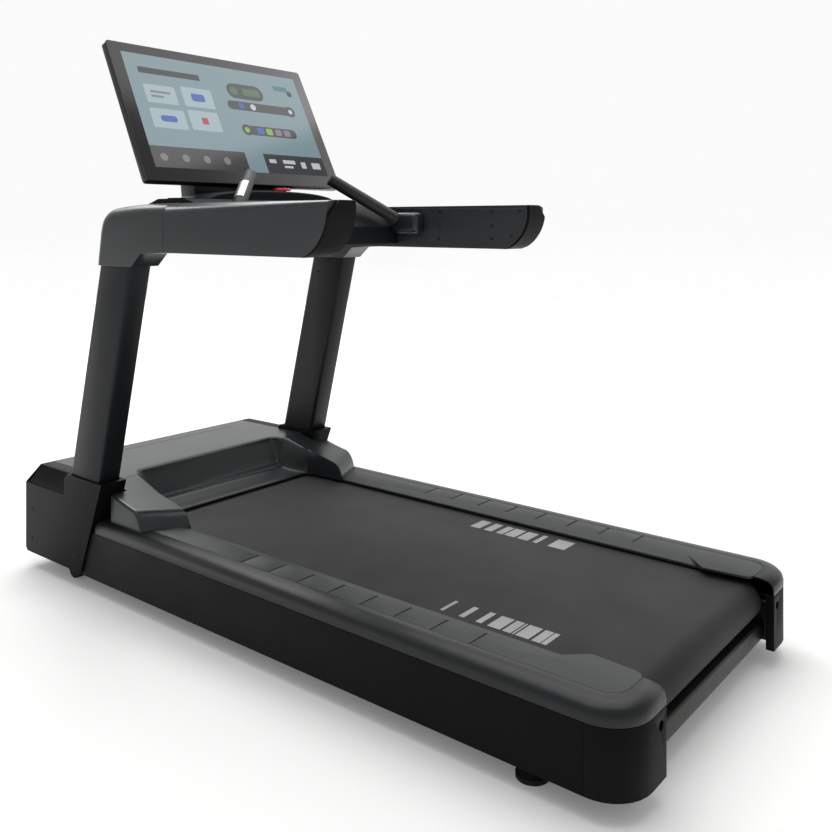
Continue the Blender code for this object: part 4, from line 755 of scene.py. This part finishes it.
# axis of the right-hand grip
GRIP_BASE = Vector((0.335, 0.181, 1.080))
GRIP_END = Vector((0.165, 0.314, 1.206))
GRIP_RADIUS = 19.5 * MM


class BuildGrips(bpy.types.Operator):
    """Rising grips with metal pulse plates, and the pods that hold them"""
    bl_idname = "treadmill.grips"
    bl_label = "Grips"

    def execute(self, context):
        sleeve = [(0.090, GRIP_RADIUS - 0.3 * MM), (0.090, GRIP_RADIUS + 1.4 * MM), (0.180, GRIP_RADIUS + 1.4 * MM),
                  (0.180, GRIP_RADIUS - 0.3 * MM)]
        along = (GRIP_END - GRIP_BASE).normalized()
        outer = (Vector((1, 0, 0)) - along * along.x).normalized()
        turn = Matrix((outer, along.cross(outer), along)).transposed().to_4x4()
        for side, sign in SIDES:
            softened(f"grip_{side}", "grip_sleeve", edge=1.0 * MM)
            softened(f"grip_pod_{side}", "satin_abs", edge=14 * MM, segments=5)
            plate = new_object(f"grip_sensor_{side}_piece", mirrored(turned(sleeve, GRIP_BASE, along), sign))
            inner = block((-0.05, -0.05, 0), (0, 0.05, 0.25))
            bmesh.ops.transform(inner, matrix=Matrix.Translation(GRIP_BASE) @ turn, verts=inner.verts)
            carve(plate, mirrored(inner, sign))
            finished(plate, "brushed_steel", "root", [f"grip_sensor_{side}"], 0.4 * MM)
        return {"FINISHED"}


# ---- console and display -------------------------------------------------------------------------
CUP_X = 0.321            # centre of a cup well
CUP_Y = 0.415
POD_HALF = 0.260         # half the width of the raised middle
POD_REAR = 0.378
POD_FRONT = 0.530


def console():
    """Console with a soft rear lip, two cup wells, a low round pod and sloping shoulders beside it."""
    rear, front = CONSOLE_LOW.y, CONSOLE_HIGH.y
    base = CONSOLE_LOW.z
    top = base + 0.135
    edge = ARM_LOW.x - 0.6 * MM
    crest = smooth_path([
        (rear, top - 0.080), (rear + 0.035, top - 0.045), (rear + 0.085, top - 0.015), (rear + 0.140, top)
    ], 5)
    outline = [
        *crest, (front - 0.050, top), (front, top - 0.045), (front, base + 0.020), (front - 0.050, base),
        (rear, base),
    ]
    obj = new_object("console_body_piece", prism(outline, "X", -edge, edge))
    hump = [(POD_HALF, top - 2 * MM)]
    for i in range(33):
        across = math.cos(math.pi * i / 32)
        hump.append((POD_HALF * across, top - MM + 0.031 * (1 - abs(across) ** 2.4) ** 0.5))
    hump.append((-POD_HALF, top - 2 * MM))
    pod = prism(hump, "Y", POD_REAR, POD_FRONT)
    rims = []
    for rim in pod.edges:
        first, second = (vert.co for vert in rim.verts)
        if abs(first.y - second.y) < MM and first.z + second.z > 2 * (top + 2 * MM):
            rims.append(rim)
    rounded(pod, rims, 7 * MM, 4)
    carve(obj, pod, "UNION")
    shoulder = smooth_path([
        (CUP_Y + 0.044, top + MM), (0.50, top - 0.012), (0.56, top - 0.030), (front + 0.01, top - 0.075)
    ], 4)
    shoulder += [(front + 0.01, top + 0.03), (CUP_Y + 0.044, top + 0.03)]
    section = [
        (-0.080, 0.0), (-0.080, 0.036), (-0.075, 0.041), (-0.004, 0.041), (0.002, 0.046), (0.03, 0.046), (0.03, 0.0)
    ]
    lip = [
        (-0.078, 0.0395), (-0.078, 0.0412), (-0.002, 0.0412), (0.0018, 0.0452), (0.0024, 0.0450), (-0.001, 0.0395)
    ]
    for side, sign in SIDES:
        carve(obj, mirrored(prism(shoulder, "X", POD_HALF + 8 * MM, 0.40), sign))
        well = (sign * CUP_X, CUP_Y, top)
        carve(obj, turned(section, well, (0, 0, 1)))
        liner = new_object(f"cup_liner_{side}", turned(lip, well, (0, 0, 1)))
        finished(liner, "moulded_rubber")
    return finished(obj, "console_abs", "root", ["console_body"], 1.6 * MM, 3, 30)


class BuildConsole(bpy.types.Operator):
    """Console body with its cup wells and pod, the stop button and the display bracket"""
    bl_idname = "treadmill.console"
    bl_label = "Console"

    def execute(self, context):
        console()
        softened("stop_button", "red_abs", "stop_button", 1.2 * MM, 3)
        softened("display_bracket", "satin_abs", edge=2.0 * MM)
        return {"FINISHED"}


def face_place(lift):
    """From (across, up the slope, out) on the display's face to the frame, this far off the glass."""
    up = Vector((0, math.sin(SCREEN_TILT), math.cos(SCREEN_TILT)))
    out = Vector((0, -math.cos(SCREEN_TILT), math.sin(SCREEN_TILT)))
    corner = Vector((0, SCREEN_LOW.y, SCREEN_LOW.z + SCREEN_DEPTH * math.sin(SCREEN_TILT)))
    turn = Matrix((Vector((1, 0, 0)), up, out)).transposed().to_4x4()
    return Matrix.Translation(corner + out * lift) @ turn


def rounded_bar(left, low, right, high, radius, steps=6):
    radius = min(radius, (right - left) / 2, (high - low) / 2)
    outline = []
    for x, y, first in (
        (right - radius, high - radius, 0), (left + radius, high - radius, 90),
        (left + radius, low + radius, 180), (right - radius, low + radius, 270),
    ):
        outline += arc((x, y), radius, first, first + 90, steps)
    return outline


def disc(x, y, radius, steps=28):
    return arc((x, y), radius, 0, 360, steps)[:-1]


def on_face(name, look, outlines, layer):
    """Thin shapes on the display's face; outlines are in millimetres, and a higher layer lies on top."""
    shapes = []
    for outline in outlines:
        bm = prism([(x * MM, y * MM) for x, y in outline], "Z", 0.0, 0.12 * MM)
        bmesh.ops.transform(bm, matrix=face_place(layer * 0.12 * MM), verts=bm.verts)
        shapes.append(bm)
    return finished(merged(name, shapes), look)


class BuildDisplay(bpy.types.Operator):
    """Large display: frame, glass and a lit page of plain shapes"""
    bl_idname = "treadmill.display"
    bl_label = "Display"

    def execute(self, context):
        softened("display_frame", "bezel_glass", edge=2.5 * MM, segments=3)
        softened("display_screen", "bezel_glass", edge=1.0 * MM)
        on_face("page_sky", "screen_sky", [rounded_bar(-352, 45, 352, 441, 1)], 0)
        on_face("page_base", "screen_bar", [rounded_bar(-352, 45, 4, 117, 1), rounded_bar(81, 45, 352, 117, 1)], 1)
        on_face("page_search", "screen_ink", [rounded_bar(-310, 372, -82, 394, 4)], 1)
        tiles = [
            rounded_bar(-309, 268, -196, 333, 6), rounded_bar(-172, 269, -54, 341, 6),
            rounded_bar(-312, 181, -188, 249, 6), rounded_bar(-172, 184, -56, 256, 6),
        ]
        on_face("page_tiles", "screen_tile", tiles, 1)
        pills = [
            rounded_bar(35, 324, 175, 383, 29), rounded_bar(2, 279, 280, 313, 17), rounded_bar(50, 186, 269, 222, 18),
        ]
        on_face("page_pills", "screen_pill", pills, 1)
        on_face("page_rings", "screen_pill", [disc(48, 353, 29), disc(279, 296, 21), disc(50, 204, 21)], 2)
        on_face("page_round_icons", "screen_grey", [disc(-312 + 78 * i, 80, 13) for i in range(4)], 2)
        blues = [
            rounded_bar(-139, 291, -87, 319, 8), rounded_bar(-280, 204, -220, 226, 11), disc(60, 296, 11),
            rounded_bar(92, 192, 122, 216, 5),
        ]
        on_face("page_blue", "screen_blue", blues, 3)
        on_face("page_red", "screen_red", [rounded_bar(-126, 208, -102, 232, 4)], 3)
        on_face("page_lime", "screen_lime", [disc(50, 204, 10), rounded_bar(132, 192, 160, 216, 5)], 3)
        on_face("page_teal", "screen_teal", [rounded_bar(235, 378, 300, 398, 3)], 1)
        pinks = [rounded_bar(172, 192, 200, 216, 5), rounded_bar(212, 192, 240, 216, 5)]
        on_face("page_pink", "screen_pink", pinks, 3)
        on_face("page_white", "screen_white", [disc(110, 296, 12), disc(279, 296, 9)], 4)
        lines = [rounded_bar(-290, 304, -216, 312, 4), rounded_bar(-290, 288, -244, 296, 4)]
        on_face("page_lines", "screen_grey", lines, 2)
        on_face("page_badge", "screen_ink", [disc(305, 372, 12)], 2)
        on_face("page_marks", "screen_white", [
            rounded_bar(100, 84, 130, 98, 2), rounded_bar(160, 84, 215, 98, 2), rounded_bar(160, 68, 200, 76, 2),
            rounded_bar(240, 70, 262, 94, 3), rounded_bar(290, 70, 330, 94, 3),
        ], 3)
        on_face("page_green", "screen_green", [disc(48, 353, 17), rounded_bar(85, 338, 160, 368, 4)], 3)
        return {"FINISHED"}


# ---- chassis, drive and lift ---------------------------------------------------------------------
class BuildChassis(bpy.types.Operator):
    """Steel frame, motor, lift, feet and the small parts of the mains inlet"""
    bl_idname = "treadmill.chassis"
    bl_label = "Chassis and drive"

    def execute(self, context):
        painted = ["deck_crossbar_rear", "deck_crossbar_front", "motor_pan", "handrail_frame"]
        for node in painted + both_sides(["frame_rail"]):
            softened(node, "powder_coat", edge=1.0 * MM)
        softened("rear_crossbar", "oiled_steel", edge=1.5 * MM)
        softened("lift_frame", "powder_coat", "lift_frame", 1.0 * MM)
        for node in ("motor_body", "motor_controller"):
            softened(node, "cast_aluminium", edge=1.0 * MM)
        softened("motor_rotor", "turned_steel", "motor_rotor", 0.5 * MM)
        softened("lift_motor", "cast_aluminium", "lift_motor", 0.8 * MM)
        softened("lift_tube", "turned_steel", "lift_tube", 0.5 * MM)
        softened("power_inlet", "grained_abs", edge=0.5 * MM)
        softened("power_switch", "red_abs", "power_switch", 0.5 * MM)
        for node in both_sides(["lift_wheel", "level_foot"]):
            softened(node, "moulded_rubber", node, 1.5 * MM, 3)
        for node in both_sides(["tension_bolt"]):
            softened(node, "turned_steel", node, 0.4 * MM)
        return {"FINISHED"}


# ---- stage ---------------------------------------------------------------------------------------
def stage_area(name, place, toward, width, height, power):
    light = bpy.data.lights.new(name, "AREA")
    light.shape = "RECTANGLE"
    light.size = width
    light.size_y = height
    light.energy = power
    obj = bpy.data.objects.new(name, light)
    obj.location = place
    obj.rotation_euler = (Vector(toward) - Vector(place)).to_track_quat("-Z", "Y").to_euler()
    bpy.context.scene.collection.objects.link(obj)
    return obj


class SetStage(bpy.types.Operator):
    """Pale floor that glows more away from the treadmill as painted light, glowing backdrop, soft lights and the
    camera
    """
    bl_idname = "treadmill.stage"
    bl_label = "Stage, light and camera"

    def execute(self, context):
        scene = context.scene
        settings = scene.treadmill_stage
        surface("studio_floor", "f4f4f3", 0.85, 20 * MM, 0.02 * MM, 0.01, patch=1.5)
        tree = bpy.data.materials["studio_floor"].node_tree
        shader = tree.nodes["Principled BSDF"]
        shader.inputs["Emission Color"].default_value = linear("ffffff")
        # painted light: the floor glows, faintly near the treadmill and more strongly from 2 to 6 m away, so the far
        # floor reads white while the shadow near the treadmill stays
        place = add_node(tree, "ShaderNodeTexCoord").outputs["Object"]
        away = add_node(tree, "ShaderNodeVectorMath", None, {0: place}, operation="LENGTH").outputs["Value"]
        painted_floor_glow = add_node(
            tree, "ShaderNodeMapRange",
            {"From Min": 2.0, "From Max": 6.0, "To Min": 0.12, "To Max": 0.62}, {"Value": away},
        )
        tree.links.new(painted_floor_glow.outputs["Result"], shader.inputs["Emission Strength"])
        floor = new_object("studio_floor", block((-14, -14, -0.02), (14, 14, 0)))
        floor.data.materials.append(bpy.data.materials["studio_floor"])
        glow = lit("studio_backdrop", "f8f8f8", 1.0, 0.01)
        wall = new_object("studio_backdrop", block((-20, 10, -0.5), (20, 10.1, 16)))
        turn = Matrix.Rotation(-settings.camera_heading, 4, "Z")
        wall.data.transform(turn)
        wall.data.materials.append(glow)
        world = bpy.data.worlds.new("studio")
        world.use_nodes = True
        world.node_tree.nodes["Background"].inputs["Color"].default_value = linear("ffffff")
        world.node_tree.nodes["Background"].inputs["Strength"].default_value = 0.5
        scene.world = world
        scene.view_settings.view_transform = "Standard"
        stage_area("overhead", (0.6, 0.4, 4.0), (0, 0, 0.2), 4.5, 4.5, 120)
        stage_area("crown_light", (0.6, 3.4, 3.6), (-0.4, 0.1, 1.1), 2.6, 1.3, 55)
        camera = bpy.data.cameras.new("camera")
        camera.lens = settings.lens
        camera.sensor_width = 36
        camera.shift_y = settings.shift
        camera.clip_start = 0.05
        holder = bpy.data.objects.new("camera", camera)
        holder.location = settings.camera_place
        holder.rotation_euler = (math.pi / 2 - settings.camera_pitch, 0, -settings.camera_heading)
        scene.collection.objects.link(holder)
        scene.camera = holder
        return {"FINISHED"}


# ---- add-on --------------------------------------------------------------------------------------
OPERATORS = (
    BuildBelt, BuildRails, BuildSides, BuildHousing, BuildUprights, BuildArms, BuildGrips, BuildConsole,
    BuildDisplay, BuildChassis, SetStage,
)


class TreadmillPanel(bpy.types.Panel):
    """Lists the builders in the 3D view's sidebar"""
    bl_idname = "VIEW3D_PT_treadmill"
    bl_label = "Treadmill"
    bl_space_type = "VIEW_3D"
    bl_region_type = "UI"
    bl_category = "Treadmill"

    def draw(self, context):
        for settings in (context.scene.treadmill_finish, context.scene.treadmill_stage):
            for name in settings.bl_rna.properties.keys():
                if name not in ("rna_type", "name"):
                    self.layout.prop(settings, name)
        for operator in OPERATORS:
            self.layout.operator(operator.bl_idname)


CLASSES = (TreadmillFinish, TreadmillStage, *OPERATORS, TreadmillPanel)


def register():
    for kind in CLASSES:
        bpy.utils.register_class(kind)
    bpy.types.Scene.treadmill_finish = bpy.props.PointerProperty(type=TreadmillFinish)
    bpy.types.Scene.treadmill_stage = bpy.props.PointerProperty(type=TreadmillStage)


def unregister():
    del bpy.types.Scene.treadmill_stage
    del bpy.types.Scene.treadmill_finish
    for kind in reversed(CLASSES):
        bpy.utils.unregister_class(kind)


def main():
    register()
    make_materials()
    for operator in OPERATORS:
        group, name = operator.bl_idname.split(".")
        getattr(getattr(bpy.ops, group), name)()


if __name__ == "__main__":
    main()
